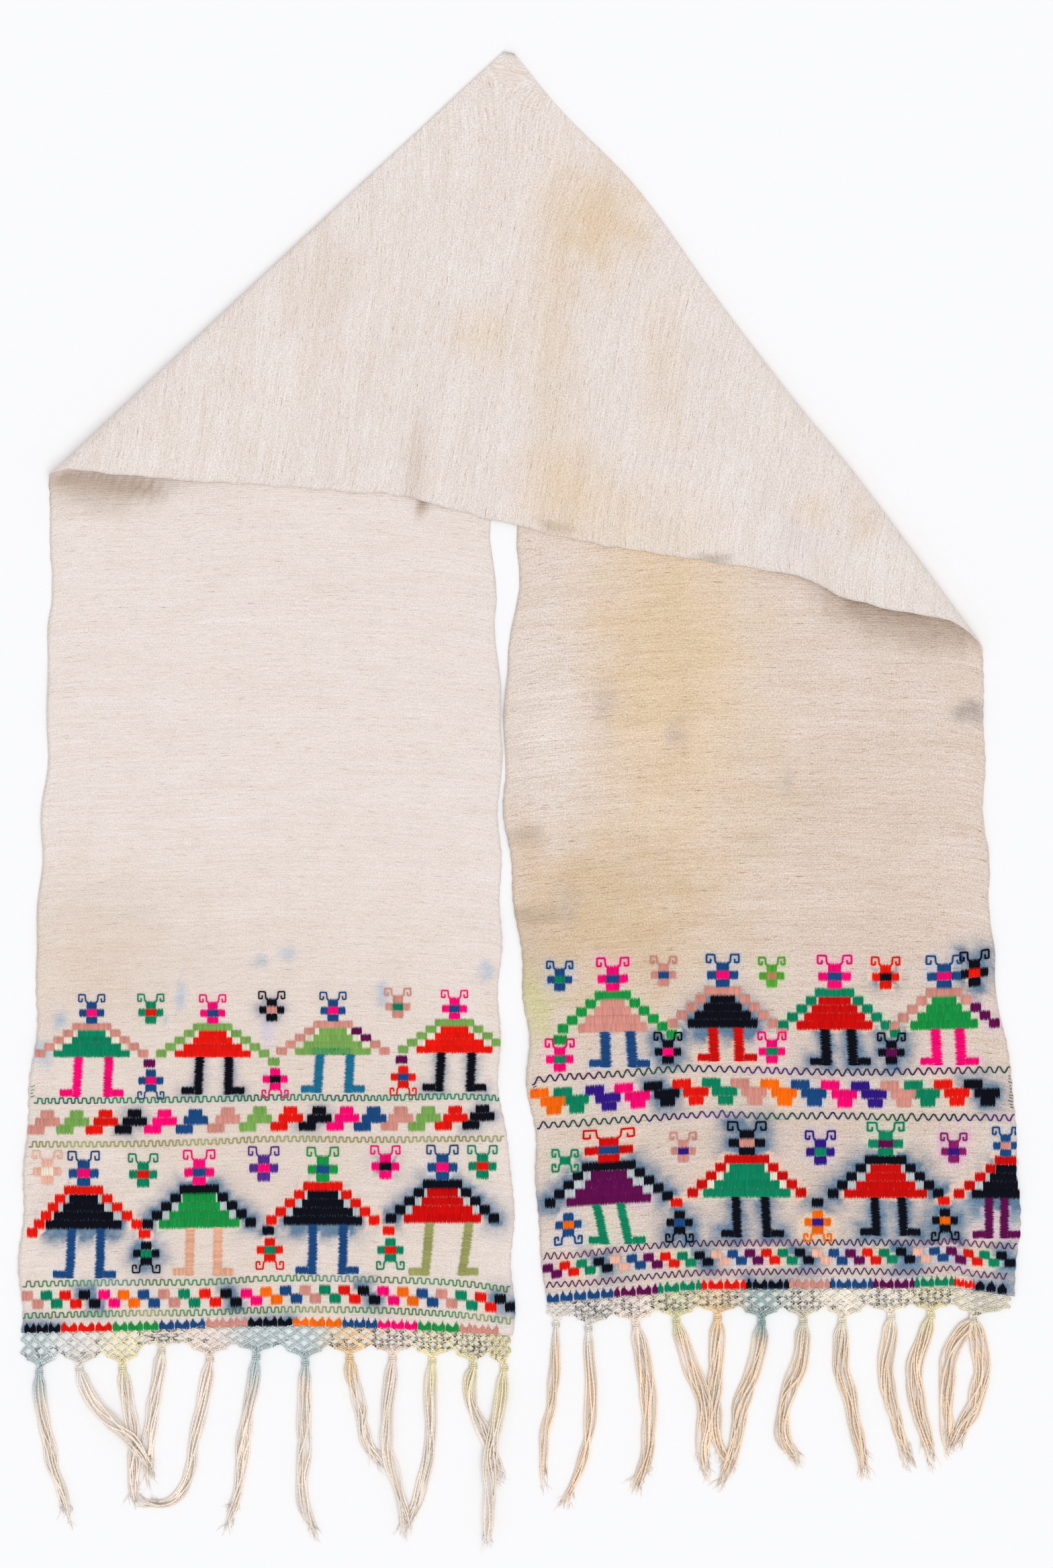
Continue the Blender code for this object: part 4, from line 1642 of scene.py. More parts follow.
@dataclass(frozen=True)
class Meander(Line):
    """A running line, squared like battlements or slanting like waves, in millimetres.

    The slant is the share of a period that each rise and each fall takes.
    """

    period: float
    height: float
    half_width: float
    dyes: tuple[Dye, ...]
    slant: float
    crisp: bool = False

    PERIODS = (0.84, 1.16)
    HEIGHTS = (0.84, 1.08)
    STRAY = 0.25
    PERIODS_TO_A_DYE = 6

    def work(self, needle: Needlework) -> None:
        """Works the line in lengths, each in the next dye.

        Args:
            needle: What it's worked with.
        """
        first, last = self.line.keys[0], self.line.keys[-1]
        x, path, number = first, [], 0
        while x < last:
            period = self.period * needle.chance.uniform(*self.PERIODS)
            high = self.height / 2 * needle.chance.uniform(*self.HEIGHTS)
            for share, side in ((0.0, -1), (0.5 - self.slant, -1), (0.5, 1), (1.0 - self.slant, 1)):
                at = x + period * share
                stray = needle.chance.uniform(-self.STRAY, self.STRAY)
                path.append((at, self.line.at(at) + side * high + stray))
            x += period
            number += 1
            if number % self.PERIODS_TO_A_DYE == 0 or x >= last:
                turn = number // self.PERIODS_TO_A_DYE
                here = self.dyes[(turn - 1) % len(self.dyes)]
                needle.lay(path, self.half_width, here, self.dyes[turn % len(self.dyes)], crisp=self.crisp)
                path = path[-1:]


@dataclass(frozen=True)
class Overcast:
    """Overcast stitches along a selvage, in millimetres, from a foot up to a top."""

    x: float
    foot: float
    top: float
    dyes: tuple[Dye, ...]
    side: int

    PITCH = 2.6
    REACHES = (2.2, 4.0)
    RISES = (0.2, 1.6)
    STRAY = 0.4
    HALF_WIDTH = 0.34

    @property
    def level(self) -> float:
        """How high it is on its leg."""
        return self.top

    def work(self, needle: Needlework) -> None:
        """Works the stitches.

        Args:
            needle: What they're worked with.
        """
        count = round((self.top - self.foot) / self.PITCH)
        for number in range(count):
            y = self.foot + (self.top - self.foot) * number / count
            reach = needle.chance.uniform(*self.REACHES)
            x = self.x + needle.chance.uniform(-self.STRAY, self.STRAY)
            inner = (x - self.side * reach, y + needle.chance.uniform(*self.RISES))
            needle.lay(((x, y), inner), self.HALF_WIDTH, self.dyes[number % len(self.dyes)])


LOWER_LEFT = partial(Figure, tread=6.9, head=1.2)
UPPER_RIGHT = partial(Figure, tread=6.6, leg=7.4, filled=False)
LOWER_RIGHT = partial(Figure, tread=6.8)
LEFT_FIGURES = (
    Figure(-341.6, 253.0, 193.1, Dye.BLUE, Dye.PINK, Dye.DUSTY, Dye.GREEN, Dye.PINK),
    Figure(-242.6, 252.8, 195.0, Dye.PINK, Dye.BLUE, Dye.LIGHT_GREEN, Dye.RED, Dye.BLACK,
           stance=(-10.4, -12.2, 13.6, 12.6)),
    Figure(-144.1, 254.9, 196.4, Dye.BLUE, Dye.PINK, Dye.DUSTY, Dye.LIGHT_GREEN, Dye.TEAL,
           mends=(Mend(Dye.PURPLE, steps=(0, 1)), Mend(Dye.GREEN, hem=(-161.7, -129.7)))),
    Figure(-44.6, 256.4, 197.6, Dye.PINK, Dye.BLUE, Dye.LIGHT_GREEN, Dye.RED, Dye.BLACK),
    LOWER_LEFT(-348.2, 119.9, 44.6, Dye.BLUE, Dye.PINK, Dye.RED, Dye.BLACK, Dye.BLUE,
               tiers=(23.4, 33.6, 48.6, 62.0), steps=(5, 4), strides=(5.7, 8.1),
               stance=(-9.7, -11.7, 14.0, 13.0)),
    LOWER_LEFT(-253.6, 120.8, 46.8, Dye.PINK, Dye.BLUE, Dye.BLACK, Dye.LEAF, Dye.SALMON,
               tiers=(27.0, 34.0, 49.0, 65.7), slope=0.02, stance=(-7.2, -8.4, 15.4, 14.6)),
    LOWER_LEFT(-152.4, 123.2, 47.9, Dye.LEAF, Dye.BLUE, Dye.RED, Dye.BLACK, Dye.BLUE,
               tiers=(25.0, 34.0, 49.0, 64.0), stance=(-8.0, -9.0, 17.0, 16.0)),
    LOWER_LEFT(-54.5, 124.9, 46.8, Dye.BLUE, Dye.PINK, Dye.BLACK, Dye.CRIMSON, Dye.OLIVE,
               tiers=(25.0, 34.0, 49.0, 63.0), stance=(-10.5, -14.3, 22.0, 16.0)),
)
LEFT_ROSETTES = (
    Rosette(-293.2, 262.1, Dye.GREEN, Dye.RED),
    Rosette(-194.2, 264.3, Dye.BLACK, Dye.DUSTY),
    Rosette(-91.0, 266.8, Dye.DUSTY, Dye.GREEN),
    Rosette(-293.2, 206.3, Dye.BLUE, Dye.PINK, hanging=True),
    Rosette(-191.4, 207.6, Dye.PINK, Dye.BLACK, hanging=True),
    Rosette(-86.6, 209.3, Dye.RED, Dye.BLUE, hanging=True),
    Rosette(-377.9, 132.0, Dye.BLUSH, Dye.CREAM, 1.12),
    Rosette(-299.5, 129.6, Dye.GREEN, Dye.RED, 1.12),
    Rosette(-200.8, 134.8, Dye.VIOLET, Dye.PINK, 1.16),
    Rosette(-101.2, 136.1, Dye.PINK, Dye.BLACK, 1.12),
    Rosette(-21.7, 136.4, Dye.GREEN, Dye.RED, 1.12),
    Rosette(-297.0, 64.9, Dye.BLACK, Dye.GREEN, 1.05, hanging=True),
    Rosette(-195.8, 67.7, Dye.RED, Dye.GREEN, 1.05, hanging=True),
    Rosette(-97.1, 67.7, Dye.GREEN, Dye.RED, 1.05, hanging=True),
)
LEFT_JOINTS = (
    Joint(-294.4, 223.4, Dye.PURPLE, height=5.7),
    Joint(-192.6, 224.7, Dye.LIGHT_GREEN, height=5.7),
    Joint(-88.0, 226.4, Dye.PURPLE, height=5.7),
    Joint(-298.4, 84.0, Dye.RED),
    Joint(-197.2, 86.8, Dye.BLACK),
    Joint(-98.5, 86.8, Dye.RED),
)
LEFT_BORDERS = (
    Overcast(-391.6, 193.0, 204.0, (Dye.GREEN, Dye.SEA), -1),
    Meander(Curve((-389, 189.8), (-309, 190.3), (-243, 191.2), (-187, 192.6), (-111, 192.2), (-48, 193.4),
                  (-8, 192.1)),
            6.0, 4.3, 0.66, (Dye.SEA, Dye.DEEP_SEA, Dye.SEA, Dye.GREEN, Dye.SEA, Dye.DEEP_SEA), 0.05, True),
    BlockBorder(Curve((-377, 181.7), (-257, 182.9), (-206, 184.6), (-111, 184.7), (-44, 185.2), (-21, 186.1)),
                Curve((0, -377.6), (4, -282.0), (8, -178.9), (11, -110.7), (15, -21.8)),
                (Unit(-5.5, 0.0, 11.0, 6.2), Unit(-9.9, 6.2, 19.8, 6.2), Unit(-16.5, 12.4, 13.8, 6.6)),
                (Dye.DUSTY, Dye.LIGHT_GREEN, Dye.RED, Dye.BLACK, Dye.PINK, Dye.BLUE)),
    Meander(Curve((-393, 154.3), (-319, 154.3), (-243, 156.2), (-196, 158.5), (-111, 157.9), (-66, 158.4),
                  (-8, 158.8)),
            5.8, 4.3, 0.62, (Dye.KHAKI, Dye.PALE_OLIVE, Dye.OLIVE, Dye.KHAKI, Dye.PALE_OLIVE), 0.05, True),
    Meander(Curve((-398, 39.9), (-320, 41.0), (-248, 41.5), (-199, 44.3), (-144, 44.3), (-78, 42.6),
                  (-34, 39.9), (-2, 35.6)),
            6.2, 4.4, 0.62, (Dye.MOSS, Dye.FERN, Dye.MIST, Dye.MOSS, Dye.FERN), 0.05, True),
    BlockBorder(Curve((-383, 33.9), (-220, 35.8), (-176, 38.3), (-107, 37.5), (-41, 33.9), (-13, 31.2)),
                Curve((0, -398.8), (3, -352.2), (7, -287.2), (10, -236.4), (12, -203.4), (24, -12.0)),
                (Unit(0.0, 0.0, 9.2, 6.9), Unit(8.6, 6.9, 9.2, 6.9)),
                (Dye.DUSTY, Dye.GREEN, Dye.RED, Dye.BLACK, Dye.PINK, Dye.ORANGE, Dye.BLUE)),
    Meander(Curve((-399, 13.8), (-320, 15.7), (-248, 16.5), (-199, 18.7), (-121, 18.7), (-78, 17.1),
                  (-34, 13.8), (-1, 9.5)),
            5.8, 4.4, 0.62, (Dye.FERN, Dye.MOSS, Dye.FERN, Dye.PALE_OLIVE), 0.05, True),
    ToothedBorder(Curve((-396, -0.3), (-297, 1.7), (-198, 5.2), (-97, 2.9), (3, -2.8)),
                  (-397.0, -367.0, -324.7, -286.7, -248.4, -213.8, -177.2, -136.5, -107.6, -74.7, -40.8,
                   -8.3),
                  (Dye.BLACK, Dye.RED, Dye.LEAF, Dye.BLUE, Dye.DUSTY, Dye.BLACK, Dye.ORANGE, Dye.BLUE,
                   Dye.PINK, Dye.LEAF, Dye.DUSTY),
                  THREE_CROWNS, THREE_CROWNS, THREE_CROWNS),
)
RIGHT_FIGURES = (
    UPPER_RIGHT(84.9, 279.5, 217.3, Dye.PINK, Dye.BLUE, Dye.LEAF, Dye.DUSTY, Dye.BLUE, shoulders=29.5,
                tiers=(19.4, 29.6, 44.4, 56.0), slope=0.022, steps=(4, 5), stance=(-6.6, -5.2, 14.4, 16.6),
                head=1.15, head_breadth=1.06),
    UPPER_RIGHT(174.9, 283.0, 222.2, Dye.BLUE, Dye.PINK, Dye.DUSTY, Dye.BLACK, Dye.CRIMSON, shoulders=30.0,
                tiers=(20.0, 31.0, 46.0, 57.0), steps=(4, 5), stance=(-8.0, -6.4, 12.6, 14.2), head=1.12,
                head_breadth=1.12),
    UPPER_RIGHT(266.5, 281.5, 218.9, Dye.PINK, Dye.BLUE, Dye.GREEN, Dye.CRIMSON, Dye.BLACK, shoulders=32.0,
                tiers=(26.0, 37.0, 49.5, 62.0), steps=(4, 5), stance=(-8.0, -6.0, 13.6, 15.6), head=1.15,
                head_breadth=1.14),
    UPPER_RIGHT(356.2, 282.0, 219.1, Dye.BLUE, Dye.PINK, Dye.DUSTY, Dye.LEAF, Dye.PINK, shoulders=30.0,
                tiers=(20.0, 29.0, 43.5, 55.0), slope=0.03, steps=(4, 4), stance=(-7.2, -5.4, 12.6, 14.4),
                head=1.12, head_breadth=1.23, mends=(Mend(Dye.PURPLE, steps=(1, 2, 3)),)),
    LOWER_RIGHT(81.7, 139.7, 72.6, Dye.CRIMSON, Dye.BLUE, Dye.BLACK, Dye.PURPLE, Dye.GREEN, shoulders=44.0,
                tiers=(29.6, 39.0, 55.0, 69.0), slope=0.06, stance=(-10.2, -3.0, 9.4, 16.6), head=1.12,
                head_breadth=1.75, flecked=True),
    LOWER_RIGHT(194.7, 145.3, 78.1, Dye.BLACK, Dye.DUSTY, Dye.CRIMSON, Dye.GREEN, Dye.BLACK, shoulders=36.5,
                tiers=(28.6, 38.0, 53.6, 71.0), stance=(-9.0, -7.6, 14.6, 17.0), head=1.15,
                head_breadth=1.28),
    LOWER_RIGHT(308.3, 144.7, 79.5, Dye.GREEN, Dye.PURPLE, Dye.BLACK, Dye.CRIMSON, Dye.BLACK,
                shoulders=34.0, tiers=(25.0, 33.0, 48.4, 67.5), stance=(-9.0, -7.4, 13.0, 15.0), head=1.15,
                head_breadth=1.22),
    LOWER_RIGHT(406.5, 144.4, 77.3, Dye.BLUE, Dye.DUSTY, Dye.CRIMSON, Dye.BLACK, Dye.PURPLE, shoulders=17.5,
                tiers=(17.0, 25.8, 37.0, 55.0), steps=(4, 0), strides=(8.7, 7.6),
                stance=(-13.6, -13.6, -0.7, -1.3)),
)
RIGHT_ROSETTES = (
    Rosette(41.5, 289.0, Dye.BLUE, Dye.GREEN),
    Rosette(126.5, 292.9, Dye.DUSTY, Dye.BLUE),
    Rosette(215.1, 292.1, Dye.LIME, Dye.TAN),
    Rosette(308.3, 291.2, Dye.RED, Dye.BLACK, 1.08),
    Rosette(381.0, 294.5, Dye.BLACK, Dye.RED, 1.2, 0.92, slope=0.12),
    Rosette(41.5, 223.9, Dye.PINK, Dye.GREEN, 1.1),
    Rosette(130.1, 229.9, Dye.BLACK, Dye.PINK, 1.06),
    Rosette(215.2, 230.2, Dye.PINK, Dye.GREEN, 1.06),
    Rosette(313.0, 229.4, Dye.BLACK, Dye.PURPLE, 1.06),
    Rosette(45.9, 140.8, Dye.GREEN, Dye.GREEN, 1.0, four_horned=True),
    Rosette(142.7, 148.8, Dye.DUSTY, Dye.INDIGO),
    Rosette(254.9, 148.0, Dye.INDIGO, Dye.GREEN, 1.14),
    Rosette(364.1, 148.3, Dye.MAGENTA, Dye.INDIGO),
    Rosette(48.6, 88.3, Dye.BLUE, Dye.ORANGE, 1.05, hanging=True, slope=0.08),
    Rosette(139.6, 90.2, Dye.BLACK, Dye.BLUE, 1.05, hanging=True),
    Rosette(252.7, 90.5, Dye.ORANGE, Dye.INDIGO, 1.05, hanging=True),
    Rosette(356.7, 91.9, Dye.BLACK, Dye.ORANGE, 1.05, hanging=True),
)
RIGHT_JOINTS = (
    Joint(41.9, 243.1, Dye.LEAF, 11.0, 6.6),
    Joint(137.2, 109.5, Dye.RED),
    Joint(252.5, 109.8, Dye.BLACK),
    Joint(356.0, 111.2, Dye.RED),
)
RIGHT_BORDERS = (
    Meander(Curve((19, 205.7), (36, 208.8), (66, 210.3), (95, 212.3), (144, 216.2), (212, 214.7),
                  (271, 213.2), (348, 214.2), (410, 215.7)),
            8.2, 4.6, 0.76, (Dye.NAVY, Dye.DEEP_PURPLE, Dye.DEEP_GREEN, Dye.NAVY, Dye.VIOLET, Dye.NAVY),
            0.30),
    BlockBorder(Curve((17, 198.6), (62, 201.4), (111, 204.9), (157, 207.9), (205, 207.4), (278, 205.7),
                      (324, 205.7), (373, 206.8)),
                Curve((0, 17.3), (1, 36.3), (2, 62.4), (7, 181.8), (12, 304.2), (13, 323.6), (15, 372.7)),
                (Unit(0.0, 0.0, 15.0, 6.9), Unit(8.5, 6.9, 20.5, 6.9), Unit(13.4, 13.8, 12.0, 6.9)),
                (Dye.ORANGE, Dye.GREEN, Dye.INDIGO, Dye.PINK, Dye.BLACK, Dye.RED, Dye.GREEN, Dye.DUSTY,
                 Dye.ORANGE, Dye.BLUE, Dye.PINK, Dye.INDIGO, Dye.DUSTY, Dye.GREEN, Dye.RED, Dye.BLACK)),
    Meander(Curve((23, 169.5), (56, 171.6), (95, 174.4), (134, 176.9), (172, 178.9), (212, 177.4),
                  (271, 177.7), (309, 176.4), (348, 176.4), (409, 176.0)),
            8.2, 4.6, 0.76, (Dye.NAVY, Dye.DEEP_GREEN, Dye.NAVY, Dye.VIOLET, Dye.DEEP_GREEN), 0.30),
    Meander(Curve((28, 62.7), (53, 63.5), (96, 68.8), (138, 72.6), (228, 73.7), (291, 74.0), (322, 73.7),
                  (365, 75.1), (375, 73.4), (415, 70.5)),
            6.3, 4.8, 0.60, (Dye.DEEP_PURPLE, Dye.PLUM, Dye.DEEP_PURPLE, Dye.NAVY), 0.34),
    BlockBorder(Curve((28, 55.7), (67, 60.5), (111, 64.6), (167, 67.0), (207, 68.3), (287, 68.3), (345, 69.9),
                      (358, 71.0), (369, 68.8), (386, 66.7), (399, 66.2)),
                Curve((0, 27.8), (27, 399.0)),
                (Unit(0.0, 0.0, 8.4, 6.0), Unit(7.0, 5.9, 8.6, 6.0)),
                (Dye.PURPLE, Dye.RED, Dye.GREEN, Dye.BLACK, Dye.BLUSH, Dye.BLUE)),
    Meander(Curve((30, 39.3), (64, 40.9), (96, 44.0), (127, 47.3), (154, 49.0), (228, 50.1), (280, 50.4),
                  (333, 49.8), (365, 53.5), (372, 50.9), (386, 47.9), (410, 46.0)),
            6.3, 4.7, 0.58, (Dye.DEEP_PURPLE, Dye.PURPLE, Dye.NAVY, Dye.DEEP_PURPLE, Dye.PLUM), 0.38),
    ToothedBorder(Curve((30, 24.2), (59, 26.7), (117, 31.5), (148, 34.7), (192, 35.6), (259, 36.3),
                        (322, 36.3), (362, 38.3), (386, 34.7), (407, 31.4)),
                  (30.5, 86.1, 121.7, 157.3, 194.0, 229.3, 262.5, 298.1, 332.0, 364.3, 381.2, 408.4),
                  (Dye.BLUE, Dye.PURPLE, Dye.GREEN, Dye.RED, Dye.BLACK, Dye.DUSTY, Dye.BLUE, Dye.PURPLE,
                   Dye.GREEN, Dye.RED, Dye.BLACK),
                  TWO_CROWNS, FIVE_CROWNS, THREE_SPIKES),
    Overcast(412.4, 184.0, 212.0, (Dye.NAVY, Dye.DEEP_GREEN, Dye.NAVY), 1),
    Overcast(20.0, 193.0, 206.0, (Dye.VIOLET, Dye.NAVY), -1),
)


class Motif(Protocol):
    """Anything that is worked on a leg."""

    @property
    def level(self) -> float:
        """How high it is on its leg, in millimetres."""

    def work(self, needle: Needlework) -> None:
        """Works it."""


def outside(patch: Patch, x: np.ndarray, y: np.ndarray) -> np.ndarray:
    """How far places lie outside a patch.

    Args:
        patch: The patch.
        x: The places across, in millimetres.
        y: The places' heights.

    Returns:
        The distances, 0 inside the patch.
    """
    down = np.clip((patch.top - y) / patch.height, 0.0, 1.0)
    left = patch.left + patch.lean * down
    across = np.maximum(np.maximum(left - x, x - left - patch.width), 0.0)
    above = np.maximum(np.maximum(y - patch.top, patch.top - patch.height - y), 0.0)
    return np.hypot(across, above)


# ---------------------------------------------------------------- the cloth


class Place(Enum):
    """The cloth's sections."""

    LEFT = 0
    PANEL = 1
    RIGHT = 2


@dataclass(frozen=True)
class StainOrShade:
    """A stain or a patch of painted shade: its middle and half-sizes in millimetres on the plan, and its turn
    in degrees.
    """

    x: float
    y: float
    wide: float
    tall: float
    colour: Colour
    strength: float
    ragged: float = 0.45
    turn: float = 0.0

    EDGE = 1.35
    LIMIT = 1.9
    NEAR = 2.4
    COARSEST = 26.0
    FINE_SCALE = 2.7
    FINE_SHARE = 0.6

    def near(self, x: float, y: float) -> bool:
        """Whether a place may be marked at all."""
        return abs(x - self.x) + abs(y - self.y) < self.NEAR * max(self.wide, self.tall)

    def depth(self, x: float, y: float) -> float:
        """How strongly the stain or painted shade shows at a place.

        Args:
            x: The place across, in millimetres.
            y: The place's height on the plan.

        Returns:
            The share of its colour, from 0 to 1.
        """
        cos, sin = math.cos(math.radians(self.turn)), math.sin(math.radians(self.turn))
        across = ((x - self.x) * cos + (y - self.y) * sin) / self.wide
        up = ((y - self.y) * cos - (x - self.x) * sin) / self.tall
        distance = math.hypot(across, up)
        if distance > self.LIMIT:
            return 0.0
        grain = min(self.COARSEST, 0.8 * min(self.wide, self.tall) + 2.0)
        spot = Vector((x / grain, y / grain, self.x))
        fine = self.FINE_SHARE * noise.noise(spot * self.FINE_SCALE)
        distance += self.ragged * (noise.noise(spot) + fine)
        return min(1.0, self.strength * (1.0 - ease(distance / self.EDGE)))


GROUNDS = {Place.LEFT: (237, 225, 217), Place.PANEL: (235, 224, 216), Place.RIGHT: (228, 211, 198)}
COARSENESS = {Place.LEFT: 1.0, Place.PANEL: 1.4, Place.RIGHT: 1.65}
TANNED, DEEP_TAN, YELLOWED, OCHRED = (219, 198, 178), (207, 186, 162), (231, 208, 181), (218, 191, 158)
GREENED, BLUED, LILAC, BLEACHED = (206, 208, 142), (168, 190, 208), (214, 204, 224), (234, 221, 211)
# The first of these is painted shade: the shadow in the folds' open mouths and under the pleat's lifted edge.
# The second is dirt, the third dye run.
PAINTED_SHADE, SMUDGED, DRENCHED = (187, 167, 151), (196, 183, 172), (142, 166, 184)
STAINS_AND_SHADES = {
    Place.RIGHT: (
        StainOrShade(230, 150, 290, 220, (221, 202, 188), 0.95, 0.2),
        StainOrShade(136, 520, 98, 240, (231, 208, 181), 0.95, 0.3),
        StainOrShade(128, 560, 66, 130, (226, 198, 160), 0.6, 0.35),
        StainOrShade(34, 500, 40, 130, BLEACHED, 0.85, 0.3),
        StainOrShade(74, 340, 130, 90, OCHRED, 0.95, 0.4),
        StainOrShade(14, 300, 30, 44, DEEP_TAN, 0.7),
        StainOrShade(22, 267, 20, 38, GREENED, 0.6),
        StainOrShade(300, 420, 70, 90, TANNED, 0.35),
        StainOrShade(226, 440, 66, 62, (218, 194, 170), 0.5),
        StainOrShade(292, 326, 100, 44, (219, 198, 180), 0.5),
        StainOrShade(372, 514, 22, 40, TANNED, 0.35),
        # Painted shade: the shadow under the panel's lifted edge in the right fold's open mouth, a dark core
        # and a softer rim.
        StainOrShade(316, 585, 66, 17, PAINTED_SHADE, 1.6, 0.25, turn=-15),
        StainOrShade(322, 574, 58, 20, (206, 188, 172), 0.8, 0.3, turn=-14),
        StainOrShade(79, 515, 14, 18, SMUDGED, 0.6),
        StainOrShade(138, 490, 12, 14, (196, 176, 168), 0.6),
        StainOrShade(228, 452, 8, 10, SMUDGED, 0.6),
        StainOrShade(376, 508, 15, 10, (164, 154, 148), 0.8),
        StainOrShade(14, 407, 22, 9, (190, 170, 152), 0.7),
        StainOrShade(20, 342, 36, 10, (184, 164, 142), 0.7),
        StainOrShade(48, 350, 12, 22, SMUDGED, 0.5),
        StainOrShade(381, 104, 13, 17, DRENCHED, 0.85),
        StainOrShade(412, 98, 8, 22, DRENCHED, 0.85),
        StainOrShade(356, 92, 19, 17, DRENCHED, 0.6),
        StainOrShade(306, 100, 16, 30, DRENCHED, 0.35),
        StainOrShade(326, 55, 22, 16, DRENCHED, 0.8),
        StainOrShade(279, 69, 18, 9, DRENCHED, 0.6),
        StainOrShade(243, 55, 16, 12, DRENCHED, 0.6),
        StainOrShade(408, 56, 12, 26, DRENCHED, 0.7),
        StainOrShade(366, 60, 14, 12, DRENCHED, 0.6),
    ),
    Place.PANEL: (
        StainOrShade(168, 633, 16, 6, (188, 175, 164), 0.9),
        StainOrShade(38, 660, 17, 6, (178, 165, 154), 1.0, 0.5, turn=-14),
        StainOrShade(72, 908, 46, 54, (228, 203, 172), 0.9, 0.35),
        StainOrShade(36, 815, 27, 170, (229, 209, 187), 0.6, 0.3),
        StainOrShade(126, 790, 22, 80, (229, 209, 188), 0.5, 0.3),
        StainOrShade(-22, 816, 30, 30, YELLOWED, 0.45, 0.35),
        StainOrShade(-153, 850, 34, 76, (225, 210, 198), 0.5, 0.35),
        StainOrShade(46, 692, 42, 44, YELLOWED, 0.8, 0.35),
        StainOrShade(96, 662, 90, 40, YELLOWED, 0.45, 0.35, turn=-14),
        StainOrShade(250, 672, 18, 16, YELLOWED, 0.5),
        StainOrShade(291, 664, 14, 20, OCHRED, 0.35),
        StainOrShade(236, 648, 26, 26, (228, 217, 214), 0.5),
        # Painted shade: the darker left flank of the pleat, away from the light.
        StainOrShade(-76, 712, 11, 44, (216, 198, 184), 0.6, 0.3),
    ),
    Place.LEFT: (
        # Painted shade: the shadow under the pleat where it lifts the panel's edge.
        StainOrShade(-68, 679, 11, 6, PAINTED_SHADE, 1.2, 0.2),
        # Painted shade: the shadow under the panel's lifted edge in the left fold's open mouth, a dark core
        # and a softer rim.
        StainOrShade(-331, 694, 58, 12, PAINTED_SHADE, 1.6, 0.25, turn=-4),
        StainOrShade(-340, 685, 50, 18, (212, 195, 182), 0.8, 0.3),
        StainOrShade(-340, 300, 110, 84, (225, 206, 189), 0.9, 0.3),
        StainOrShade(-200, 150, 280, 230, (229, 212, 200), 0.95, 0.2),
        StainOrShade(-367, 256, 7, 9, BLUED, 0.8),
        StainOrShade(-281, 256, 3, 5, BLUED, 0.7),
        StainOrShade(-269, 276, 5, 16, BLUED, 0.75),
        StainOrShade(-204, 305, 9, 7, BLUED, 0.6),
        StainOrShade(-181, 310, 9, 7, BLUED, 0.6),
        StainOrShade(-198, 248, 6, 18, LILAC, 0.8),
        StainOrShade(-104, 277, 7, 12, BLUED, 0.75),
        StainOrShade(-19, 297, 8, 9, BLUED, 0.7),
        StainOrShade(-381, 228, 12, 12, BLUED, 0.75),
    ),
}


def quads(points: np.ndarray) -> list[list[int]]:
    """The faces between a grid's points.

    Args:
        points: The grid's points, by column and then by row.

    Returns:
        The numbers of the points at the corners of each face.
    """
    columns, rows = points.shape[:2]
    number = np.arange(columns * rows).reshape(columns, rows)
    corners = (number[:-1, :-1], number[:-1, 1:], number[1:, 1:], number[1:, :-1])
    return np.stack([corner.ravel() for corner in corners], axis=1).tolist()


